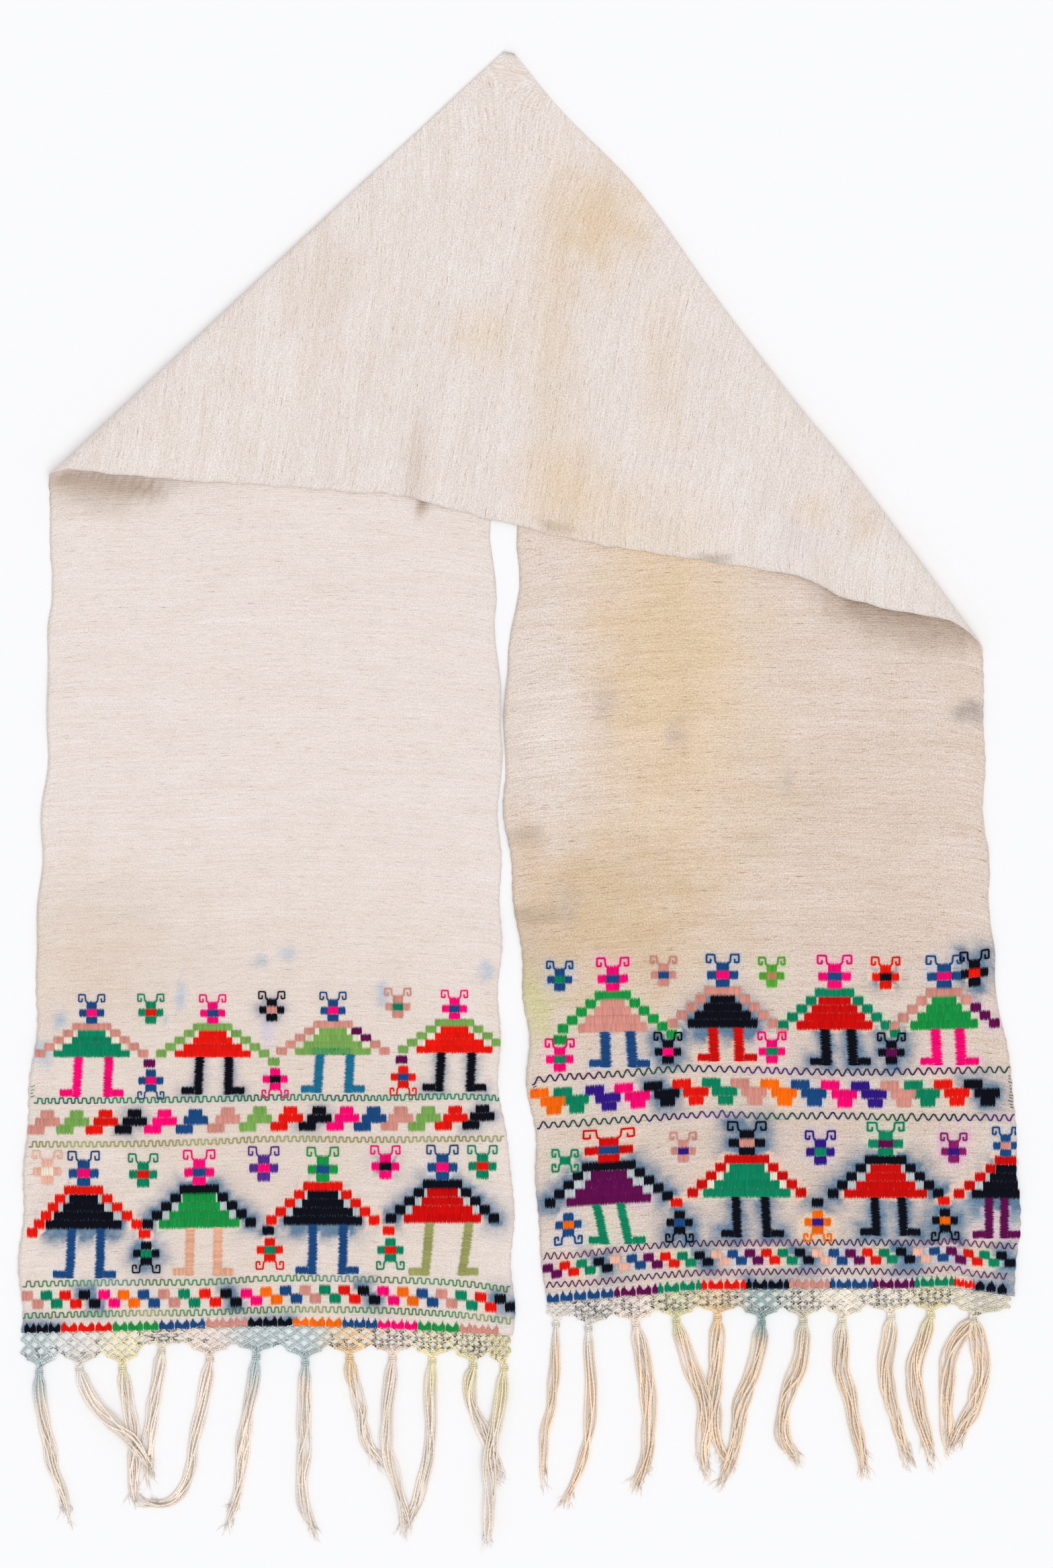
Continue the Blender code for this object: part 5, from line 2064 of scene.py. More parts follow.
@dataclass(frozen=True)
class Cloth:
    """The one sheet of homespun, from the left woven end over both folds to the right one."""

    width: float = 0.38
    thickness: float = 0.0012
    gap: float = 0.0008
    columns: int = 118
    end_rows: int = 96
    end_share: float = 0.42
    upper_rows: int = 44
    closing: float = 1.35
    arc_rows: int = 8
    panel_steps: int = 64
    pleat_steps: int = 9
    pleat_step: float = 0.005
    patch_reach: float = 26.0
    dry_share: float = 0.6
    stray_reach: float = 3.4
    stray_length: float = 21.0
    stray_seed: int = 5
    no_run: float = 9.0

    @cached_property
    def leg_rows(self) -> int:
        """How many rows of points a leg has, with its half of the fold."""
        return self.end_rows + self.upper_rows + self.arc_rows + 1

    def _leg(self, leg: Leg, share: float) -> list[Vector]:
        """One warp line of a leg.

        Args:
            leg: The leg.
            share: The warp's share of the width.

        Returns:
            The line's points, from the woven end to the fold.
        """
        span = leg.fold.span(share, lambda back: leg.place(share, 1.0 - back))
        flat = 1.0 - span
        alongs = [self.end_share * flat * row / self.end_rows for row in range(self.end_rows)]
        for row in range(self.upper_rows, -1, -1):
            left = (row / self.upper_rows) ** self.closing
            alongs.append(flat * (1.0 - (1.0 - self.end_share) * left))
        alongs += [1.0 - span * (1.0 - row / self.arc_rows) for row in range(1, self.arc_rows + 1)]
        return [leg.point(share, along, self.thickness / 2) for along in alongs]

    def _panel(self, panel: Panel, share: float) -> list[Vector]:
        """One warp line of the panel.

        Args:
            panel: The panel.
            share: The warp's share of the width.

        Returns:
            The line's points between the two folds, from left to right.
        """
        first = panel.left.span(share, lambda along: panel.place(share, along))
        last = panel.right.span(share, lambda back: panel.place(share, 1.0 - back))
        stations = {step / self.panel_steps for step in range(self.panel_steps + 1)}
        pleats = range(-self.pleat_steps, self.pleat_steps + 1)
        stations |= {round(panel.pleat_along + step * self.pleat_step, 4) for step in pleats}
        alongs = [first * row / self.arc_rows for row in range(1, self.arc_rows)]
        alongs += [first + (1.0 - last - first) * station for station in sorted(stations)]
        alongs += [1.0 - last * (1.0 - row / self.arc_rows) for row in range(1, self.arc_rows)]
        height = self.thickness * 1.5 + self.gap
        return [panel.point(share, along, height) for along in alongs]

    def grid(self) -> np.ndarray:
        """The middle surface's points, by column from the outer selvage, then by row from the left end."""
        columns = []
        for column in range(self.columns + 1):
            share = column / self.columns
            left = self._leg(Towel.LEFT_LEG, share)
            right = self._leg(Towel.RIGHT_LEG, share)
            columns.append([*left, *self._panel(Towel.PANEL, share), *reversed(right)])
        return np.array(columns, float)

    def flat_map(self, points: np.ndarray) -> np.ndarray:
        """Where each point lies on the flat cloth.

        Args:
            points: The middle surface's points.

        Returns:
            Each point's place across and along the flat cloth, in metres.
        """
        steps = np.linalg.norm(np.diff(points, axis=1), axis=2)
        run = np.concatenate([np.zeros((len(points), 1)), np.cumsum(steps, axis=1)], axis=1)
        whole = run[:, -1:]
        from_right = whole.mean() - (whole - run)
        start, end = run[:, self.leg_rows - 1 : self.leg_rows], run[:, -self.leg_rows :][:, :1]
        past = np.clip((run - start) / (end - start), 0.0, 1.0)
        share = past * past * (3 - 2 * past)
        along = run * (1 - share) + from_right * share
        across = np.broadcast_to(np.linspace(0, self.width, len(points))[:, None], along.shape)
        return np.stack([across, along], axis=2)

    def _rows(self, rows: int) -> dict[Place, range]:
        """The rows of points that each section has, out of all the rows."""
        left, right = self.leg_rows, rows - self.leg_rows
        return {Place.LEFT: range(left), Place.PANEL: range(left, right), Place.RIGHT: range(right, rows)}

    def _ground(self, points: np.ndarray) -> np.ndarray:
        """The cloth's colour, with its stains and with the shade painted at the folds' mouths and the pleat.

        Args:
            points: The middle surface's points.

        Returns:
            The colour at each point, as linear light.
        """
        colours = np.zeros(points.shape)
        for place, rows in self._rows(points.shape[1]).items():
            marks = [(mark, linear(mark.colour)) for mark in STAINS_AND_SHADES[place]]
            ground = linear(GROUNDS[place])
            for column in range(points.shape[0]):
                for row in rows:
                    x, y = points[column, row, 0] / MM, points[column, row, 1] / MM
                    colour = ground
                    for mark, mark_colour in marks:
                        if mark.near(x, y):
                            colour = blend(colour, mark_colour, mark.depth(x, y))
                    colours[column, row] = colour
        return colours

    def _coarseness(self, points: np.ndarray) -> np.ndarray:
        """How strongly the weave shows, by section.

        Args:
            points: The middle surface's points.

        Returns:
            The strength at each point.
        """
        coarseness = np.empty(points.shape[:2])
        for place, rows in self._rows(points.shape[1]).items():
            coarseness[:, rows.start : rows.stop] = COARSENESS[place]
        return coarseness

    def _bled(
        self, points: np.ndarray, patches: Iterable[tuple[Patch, Wetting]]
    ) -> tuple[np.ndarray, np.ndarray]:
        """How the dyes ran.

        Args:
            points: The middle surface's points.
            patches: The dyed patches worked on it, each with how wet it got.

        Returns:
            The nearest run's colour and strength at each point, and how far out in its reach the point is.
        """
        x, y = points[..., 0] / MM, points[..., 1] / MM
        size = self.stray_length
        # The vector noise would otherwise start from the clock.
        noise.seed_set(self.stray_seed)
        stray = np.array([
            [noise.noise_vector(Vector((a / size, b / size, 0.5))) for a, b in zip(xs, ys)]
            for xs, ys in zip(x, y)
        ])
        x, y = x + self.stray_reach * stray[..., 0], y + self.stray_reach * stray[..., 1]
        depth = np.full(x.shape, self.no_run)
        colours = np.ones((*x.shape, 4))
        colours[..., 3] = 0.0
        for patch, wetting in patches:
            run = BLEEDS.get(patch.dye)
            if run is None:
                continue
            near = np.abs(x - patch.left - patch.width / 2) < patch.width / 2 + self.patch_reach
            near &= np.abs(y - patch.top + patch.height / 2) < patch.height / 2 + self.patch_reach
            if not near.any():
                continue
            reached = outside(patch, x[near], y[near]) / (run.reach * wetting.value)
            stronger = reached < depth[near]
            depth[near] = np.where(stronger, reached, depth[near])
            freely = self.dry_share
            if patch.dye is Dye.BLACK or wetting.freely:
                freely = min(wetting.value, 1.0)
            runs = np.array([*linear(run.colour), run.strength * freely])
            colours[near] = np.where(stronger[:, None], runs, colours[near])
        return colours, depth

    def build(
        self, patches: Iterable[tuple[Patch, Wetting]], points: np.ndarray, finish: bpy.types.Material
    ) -> bpy.types.Object:
        """The cloth as a closed sheet, coloured and mapped.

        Args:
            patches: The dyed patches worked on it, each with how wet it got.
            points: The sheet's middle surface.
            finish: The cloth's material.

        Returns:
            The cloth.
        """
        mesh = bpy.data.meshes.new("cloth")
        mesh.from_pydata(points.reshape(-1, 3).tolist(), [], quads(points))
        loops = np.empty(len(mesh.loops), np.int64)
        mesh.loops.foreach_get("vertex_index", loops)
        flat = mesh.uv_layers.new(name="flat")
        flat.data.foreach_set("uv", self.flat_map(points).reshape(-1, 2)[loops].astype(np.float32).ravel())
        ground = self._ground(points).reshape(-1, 3)
        store(mesh, "colour", "FLOAT_COLOR", np.concatenate([ground, np.ones((len(ground), 1))], axis=1))
        runs, depth = self._bled(points, patches)
        store(mesh, "run", "FLOAT_COLOR", runs)
        store(mesh, "coarseness", "FLOAT", self._coarseness(points))
        store(mesh, "run_depth", "FLOAT", depth)
        mesh.materials.append(finish)
        mesh.shade_smooth()
        middle = put("cloth middle", mesh)
        body = middle.modifiers.new("thickness", "SOLIDIFY")
        body.thickness, body.offset, body.use_even_offset = self.thickness, 0.0, True
        return plain("homespun_cloth", middle)


class Ground:
    """The top of the cloth, for what is worked on it."""

    LOOKOUT = 0.1

    def __init__(self, points: np.ndarray, thickness: float) -> None:
        """Takes the cloth's middle surface.

        Args:
            points: The middle surface's points.
            thickness: The cloth's thickness.
        """
        self.tree = BVHTree.FromPolygons(points.reshape(-1, 3).tolist(), quads(points))
        self.half = thickness / 2

    def under(self, x: float, y: float) -> tuple[Vector, Vector] | None:
        """Looks straight down on the cloth.

        Args:
            x: The place across, in metres.
            y: The place's height on the plan.

        Returns:
            The cloth's top there and its normal, or None off the cloth.
        """
        place, normal, _, _ = self.tree.ray_cast(Vector((x, y, self.LOOKOUT)), Vector((0, 0, -1)))
        if place is None:
            return None
        up = normal if normal.z > 0 else -normal
        return place + up * self.half, up


@dataclass(frozen=True)
class Embroidery:
    """The embroidery's pieces: satin stitches in two rows to an end, and the laid threads."""

    stitch_former: StitchFormer
    yarn_former: YarnFormer
    ground: Ground
    finish: bpy.types.Material
    stitch_rise: float = 0.00020
    stitch_arch: float = 0.28
    stitch_wander: float = 0.05
    thread_step: float = 0.0011
    thread_bed: float = 0.55
    thread_flatness: float = 0.72
    thread_ply: float = 0.004
    thread_tones: tuple[float, float] = (0.9, 1.1)
    turn: float = 0.0005
    loft: float = 1.0

    def _turn(self, up: Vector, turn: float) -> Vector:
        """The turn that lays a stitch along the cloth.

        Args:
            up: The cloth's normal.
            turn: The stitch's turn from upright, on the plan.

        Returns:
            The turn about each axis.
        """
        along = Vector((math.sin(-turn), math.cos(turn), 0.0))
        along = (along - up * along.dot(up)).normalized()
        across = along.cross(up)
        return Vector(Matrix((across, along, up)).transposed().to_euler("XYZ"))

    def stitches(self, name: str, worked: Sequence[Stitch]) -> bpy.types.Object:
        """Forms one piece of satin stitches.

        Args:
            name: The piece's name.
            worked: Its stitches. One that lies off the cloth is left out.

        Returns:
            The piece.
        """
        places, turns, sizes, colours = [], [], [], []
        for stitch in worked:
            found = self.ground.under(stitch.x * MM, stitch.y * MM)
            if found is None:
                continue
            place, normal = found
            places.append(place + normal * self.stitch_rise)
            turns.append(self._turn(normal, stitch.turn))
            sizes.append((stitch.breadth * MM, stitch.length * MM, self.loft * MM))
            colours.append((*stitch.colour, 1.0))
        mesh = bpy.data.meshes.new(name)
        mesh.from_pydata(places, [], [])
        store(mesh, "turn", "FLOAT_VECTOR", turns)
        store(mesh, "size", "FLOAT_VECTOR", sizes)
        store(mesh, "colour", "FLOAT_COLOR", colours)
        given = {"Arch": self.stitch_arch, "Width": 1.0, "Wander": self.stitch_wander, "Seed": 7,
                 "Finish": self.finish}
        return self.stitch_former.form(name, mesh, given)

    def _path(self, thread: Thread) -> list[Vector]:
        """Lays a thread on the cloth.

        Args:
            thread: The thread.

        Returns:
            Its middle line, without what lies off the cloth.
        """
        corners = [Vector((x * MM, y * MM, 0.0)) for x, y in thread.path]
        if thread.crisp:
            bend = mitred(corners, self.thread_step, self.turn)
        else:
            bend = rounded(corners, self.thread_step)
        found = [self.ground.under(spot.x, spot.y) for spot in bend]
        rise = thread.half_width * MM * self.thread_bed + self.stitch_rise
        return [place + normal * rise for place, normal in filter(None, found)]

    def threads(self, name: str, laid: Sequence[Thread], seed: int) -> bpy.types.Object:
        """Forms one piece of laid threads.

        Args:
            name: The piece's name.
            laid: Its threads.
            seed: The seed of their unevenness.

        Returns:
            The piece.
        """
        skein = Skein(ply_pitch=self.thread_ply, seed=seed)
        for thread in laid:
            path = self._path(thread)
            if len(path) < 2:
                continue
            first, last = thread.dyes[0].light, thread.dyes[-1].light
            tone = skein.chance.uniform(*self.thread_tones)
            half = thread.half_width * MM
            skein.lay(path, lambda _: half, lambda share: toned(blend(first, last, share), tone))
        given = {"Sides": 6, "Flatness": self.thread_flatness, "Finish": self.finish}
        return self.yarn_former.form(name, skein.guide(name), given)


# ---------------------------------------------------------------- the fringe


BLUE_GREY, PALE_GREY, TEAL_GREY = (206, 219, 220), (246, 240, 231), (176, 198, 196)
CREAM, YELLOW, GREEN_YELLOW = (255, 245, 226), (254, 243, 204), (246, 241, 199)
PINKISH, ORANGE, GREY_GREEN = (255, 239, 226), (254, 226, 184), (238, 230, 210)
# The third colour here is painted shade: the brown a strand takes where it turns under the rest of its
# bundle.
LEFT_YARN, RIGHT_YARN, YARN_SHADE = (255, 242, 228), (254, 232, 208), (184, 148, 120)


@dataclass(frozen=True)
class Bundle:
    """A bundle of a tassel: where it hangs from and its length in metres, and how it lies.

    The leans are in degrees from straight down, positive to the right, at the middle of each sixth. The tint
    is the netting's, and fades out of the strands over a share of their length.
    """

    x: float
    y: float
    length: float
    leans: tuple[float, ...]
    tint: Colour
    fade: float = 0.25
    strands: int = 9
    lift: float = 0.0

    @cached_property
    def lean(self) -> Curve:
        """The bundle's lean along its length."""
        count = len(self.leans)
        return Curve(*(((number + 0.5) / count, lean) for number, lean in enumerate(self.leans)))

    def path(self, length: float, step: float) -> list[tuple[Vector, float]]:
        """The bundle's middle line, for one of its strands.

        Args:
            length: The strand's length.
            step: About how far apart the line's places are.

        Returns:
            Places down the bundle's middle, with its lean in radians at each.
        """
        count = max(6, round(length / step))
        place, path = Vector((self.x, self.y)), []
        for number in range(count + 1):
            lean = math.radians(self.lean.at(number / count * length / self.length))
            path.append((place.copy(), lean))
            place += Vector((math.sin(lean), -math.cos(lean))) * length / count
        return path


LEFT_BUNDLES = (
    Bundle(-0.3845, -0.0325, 0.123, (0, 10, 11, 12, 20, 15), BLUE_GREY, 0.30),
    Bundle(-0.3515, -0.0303, 0.097, (17, 33, 45, 48, 42, 30), PALE_GREY, 0.15, lift=0.0043),
    Bundle(-0.3163, -0.0297, 0.106, (7, 11, 13, -1, -2, 4), YELLOW, 0.15),
    Bundle(-0.2844, -0.0154, 0.106, (-8, -9, -8, -7, 0, 1), CREAM, 0.1),
    Bundle(-0.2448, -0.0220, 0.148, (-9, -11, -11, -10, -36, -102), PINKISH),
    Bundle(-0.2068, -0.0198, 0.140, (-6, -11, -8, -8, -9, -18), BLUE_GREY, 0.4),
    Bundle(-0.1667, -0.0248, 0.137, (-1, 0, 0, -8, 7, 21), BLUE_GREY, 0.15),
    Bundle(-0.1304, -0.0215, 0.090, (5, 18, 13, 7, 18, 44), ORANGE, 0.4),
    Bundle(-0.0952, -0.0215, 0.143, (-6, -6, 0, 13, 18, 13), PINKISH, lift=0.0022),
    Bundle(-0.0627, -0.0237, 0.137, (-4, 0, -3, -10, -14, -27), YELLOW, 0.4),
    Bundle(-0.0292, -0.0275, 0.096, (-13, 7, 22, 28, 18, 16), YELLOW, 0.5),
    Bundle(-0.0039, -0.0292, 0.140, (-5, -13, -10, -1, 0, -9), YELLOW, 0.5, lift=0.0030),
)
RIGHT_BUNDLES = (
    Bundle(0.0385, 0.0066, 0.130, (-1, -1, -9, -12, -5, 9), PALE_GREY, strands=6),
    Bundle(0.0650, 0.0033, 0.143, (1, 6, -2, -10, -17, -23), PALE_GREY, strands=7),
    Bundle(0.1040, 0.0055, 0.130, (12, 10, 4, 1, -3, -22), PINKISH, strands=11),
    Bundle(0.1370, 0.0088, 0.126, (18, 18, 21, 10, -6, 10), GREEN_YELLOW, 0.15, strands=11),
    Bundle(0.1710, 0.0121, 0.123, (-1, -2, -4, -2, 12, 27), ORANGE, 0.2, strands=11),
    Bundle(0.2068, 0.0083, 0.134, (-5, -15, -21, -11, -13, -22), TEAL_GREY, 0.2, strands=11),
    Bundle(0.2410, 0.0088, 0.115, (-1, -9, -25, -16, 1, 34), GREY_GREEN, strands=11),
    Bundle(0.2728, 0.0088, 0.124, (-2, 0, 20, 11, 13, 12), CREAM, strands=11),
    Bundle(0.3130, 0.0127, 0.122, (-6, -9, 8, 14, 16, 27), CREAM, strands=11),
    Bundle(0.3454, 0.0138, 0.119, (-18, -19, 1, 8, 14, 15), YELLOW, strands=11),
    Bundle(0.3800, 0.0108, 0.111, (-41, -25, -5, 1, 1, 9), GREY_GREEN, 0.08, strands=12),
    Bundle(0.3800, 0.0108, 0.108, (14, 9, -7, -11, -30, -25), CREAM, 0.08, strands=12),
)


@dataclass(frozen=True)
class Net:
    """A netted heading: rows of knotted eyes that gather to one neck over each tassel."""

    name: str
    node: str
    leg: Leg
    bundles: tuple[Bundle, ...]
    seed: int
    row_drop: tuple[float, ...] = (0.0, 0.20, 0.39, 0.58, 0.76, 0.90, 1.0)
    full_rows: int = 3
    points: int = 3
    tip_width: float = 0.006
    inset: float = 0.002
    edge_gap: float = 0.0005
    head_along: float = 0.0080
    yarns: tuple[int, ...] = (2, 2, 2, 2, 3, 4)
    yarn_half: float = 0.00094
    yarn_pitch: float = 0.0014
    yarn_lap: float = 0.0007
    yarn_stray: float = 0.0004
    yarn_spread: tuple[tuple[float, float], ...] = ((0.0, 0.45), (0.33, 1.0), (0.67, 1.0), (1.0, 0.45))
    yarn_tones: tuple[float, float] = (0.98, 1.14)
    yarn_flatness: float = 0.68
    ply_pitch: float = 0.0046
    short: float = 0.016
    bed: float = 0.0009
    cord_sag: float = 0.0005
    stray: float = 0.0006
    stray_grain: float = 260.0
    full_bow: float = 0.0007
    point_bow: float = 0.0008
    edge_bow: float = 0.0026
    edge_knot_rise: float = 0.0006
    knot_radius: tuple[float, float] = (0.0013, 0.0012)
    knot_points: int = 6
    knot_turn: float = 1.15
    knot_half: float = 0.00072
    knot_rise: float = 0.0019
    knot_wave: float = 0.0003
    knot_wave_turn: float = 2.1
    knot_tones: tuple[float, float] = (0.96, 1.12)
    step: float = 0.0016

    @cached_property
    def heads(self) -> list[Bundle]:
        """The bundles that have a neck of their own."""
        found: dict[tuple[float, float], Bundle] = {}
        for bundle in self.bundles:
            found.setdefault((bundle.x, bundle.y), bundle)
        return list(found.values())

    @cached_property
    def bounds(self) -> list[float]:
        """Where each tassel's width of heading starts and ends across."""
        edges = sorted((self.leg.outer.values[0], self.leg.inner.values[0]))
        heads = self.heads
        middles = [(a.x + b.x) / 2 for a, b in zip(heads, heads[1:])]
        return [edges[0] + self.inset, *middles, edges[1] - self.inset]

    def edge(self, x: float) -> float:
        """The height of the woven end at a place across."""
        outer, inner = self.leg.outer.values[0], self.leg.inner.values[0]
        return self.leg.end.at(min(max((x - outer) / (inner - outer), 0.0), 1.0))

    def knot(self, tassel: int, row: int, place: float) -> Vector:
        """A knot's place. Two tassels share the knots between them.

        Args:
            tassel: The tassel below it.
            row: Its row, from 0 at the woven end.
            place: Its place across the tassel's width of heading, in widths of a point.

        Returns:
            The place.
        """
        head = self.heads[tassel]
        low, high = self.bounds[tassel], self.bounds[tassel + 1]
        x = low + (high - low) * place / self.points
        drop = self.row_drop[row]
        if row > self.full_rows + 1:
            kept = self.row_drop[self.full_rows + 1]
            pull = (drop - kept) / (1.0 - kept)
            x += (head.x + (place - self.points / 2) * self.tip_width / self.points - x) * pull
        beside = tassel + (place == self.points) - (place == 0)
        other = self.heads[min(max(beside, 0), len(self.heads) - 1)]
        top = self.edge(x) - self.edge_gap
        bottom = (head.y + other.y) / 2 + self.head_along / 2 + self.edge_gap
        stray = self.stray * noise.noise(Vector((x * self.stray_grain, row * 3.7, self.seed)))
        return Vector((x + stray, top + (bottom - top) * drop + stray, 0.0))

    def tint(self, x: float) -> Colour:
        """The netting's colour at a place across.

        Args:
            x: The place across.

        Returns:
            The colour, between its tassels' tints.
        """
        heads = self.heads
        for head, after in zip(heads, heads[1:]):
            if x < after.x:
                share = ease(min(max((x - head.x) / (after.x - head.x), 0.0), 1.0))
                return blend(linear(head.tint), linear(after.tint), share)
        return linear(heads[-1].tint)

    def _cords(self, skein: Skein, start: Vector, end: Vector, count: int, bow: float) -> None:
        """Lays yarns side by side between two knots.

        Args:
            skein: What gathers them.
            start: The first knot.
            end: The second knot.
            count: How many yarns there are.
            bow: How far they bow to their left.
        """
        run = end - start
        side = Vector((-run.y, run.x, 0.0)).normalized()
        for number in range(count):
            spread = (number - (count - 1) / 2) * self.yarn_pitch
            rise = self.bed + (self.yarn_lap if number % 2 else 0.0)
            rise += skein.chance.uniform(0.0, self.yarn_stray)
            corners = []
            for share, open_by in self.yarn_spread:
                arch = 4 * share * (1 - share)
                place = start + run * share + side * (spread * open_by + bow * arch)
                place.z = rise + self.cord_sag * (1 - arch)
                corners.append(place)
            colour = toned(self.tint((start.x + end.x) / 2), skein.chance.uniform(*self.yarn_tones))
            skein.lay(rounded(corners, self.step), lambda _: self.yarn_half, lambda _: colour)

    def _knot(self, skein: Skein, place: Vector) -> None:
        """Lays the small turn of yarn that makes a knot.

        Args:
            skein: What gathers the yarns.
            place: The place of the knot.
        """
        start = skein.chance.uniform(0, math.tau)
        corners = []
        for number in range(self.knot_points):
            angle = start + number * self.knot_turn
            across, up = self.knot_radius[0] * math.cos(angle), self.knot_radius[1] * math.sin(angle)
            rise = self.knot_rise + self.knot_wave * math.sin(self.knot_wave_turn * number)
            corners.append(place + Vector((across, up, rise)))
        colour = toned(self.tint(place.x), skein.chance.uniform(*self.knot_tones))
        skein.lay(rounded(corners, self.knot_radius[1]), lambda _: self.knot_half, lambda _: colour)

    def _heading(self, skein: Skein, tassel: int) -> None:
        """Lays one tassel's width of netting, in thinner cords where it hangs short.

        Args:
            skein: What gathers its yarns.
            tassel: The tassel's number, from 0.
        """
        head = self.heads[tassel]
        hangs_short = self.edge(head.x) - head.y - self.head_along / 2 < self.short
        for row in range(self.full_rows + self.points):
            lost = max(row - self.full_rows, 0)
            opening = row < self.full_rows and row % 2 == 0
            for number in range(self.points - lost):
                low, high = number + 0.5 * lost, number + 0.5 * lost + 1
                meeting = low + 0.5
                for outer in (low, high):
                    start, end = (meeting, outer) if opening else (outer, meeting)
                    bow = self.full_bow * (1 if end > start else -1)
                    if lost:
                        bow = -self.point_bow * (1 if start + end > self.points else -1)
                    self._cords(skein, self.knot(tassel, row, start), self.knot(tassel, row + 1, end),
                                max(1, self.yarns[row] - hangs_short), bow)
                if row and not opening:
                    self._knot(skein, self.knot(tassel, row, low))
                    self._knot(skein, self.knot(tassel, row, high))
        for number in range(self.points):
            start = self.knot(tassel, 0, number + 0.5)
            last = number == self.points - 1
            if last and tassel + 1 == len(self.heads):
                break
            end = self.knot(tassel + 1, 0, 0.5) if last else self.knot(tassel, 0, number + 1.5)
            self._cords(skein, start, end, 1, -self.edge_bow if head.x < end.x else self.edge_bow)
            start.z += self.edge_knot_rise
            self._knot(skein, start)

    def build(self, former: YarnFormer, finish: bpy.types.Material) -> bpy.types.Object:
        """Forms the heading.

        Args:
            former: What forms its yarns.
            finish: Their material.

        Returns:
            The heading.
        """
        skein = Skein(ply_pitch=self.ply_pitch, seed=self.seed)
        for tassel in range(len(self.heads)):
            self._heading(skein, tassel)
        given = {"Sides": 6, "Flatness": self.yarn_flatness, "Finish": finish}
        return former.form(self.name, skein.guide(self.name), given)


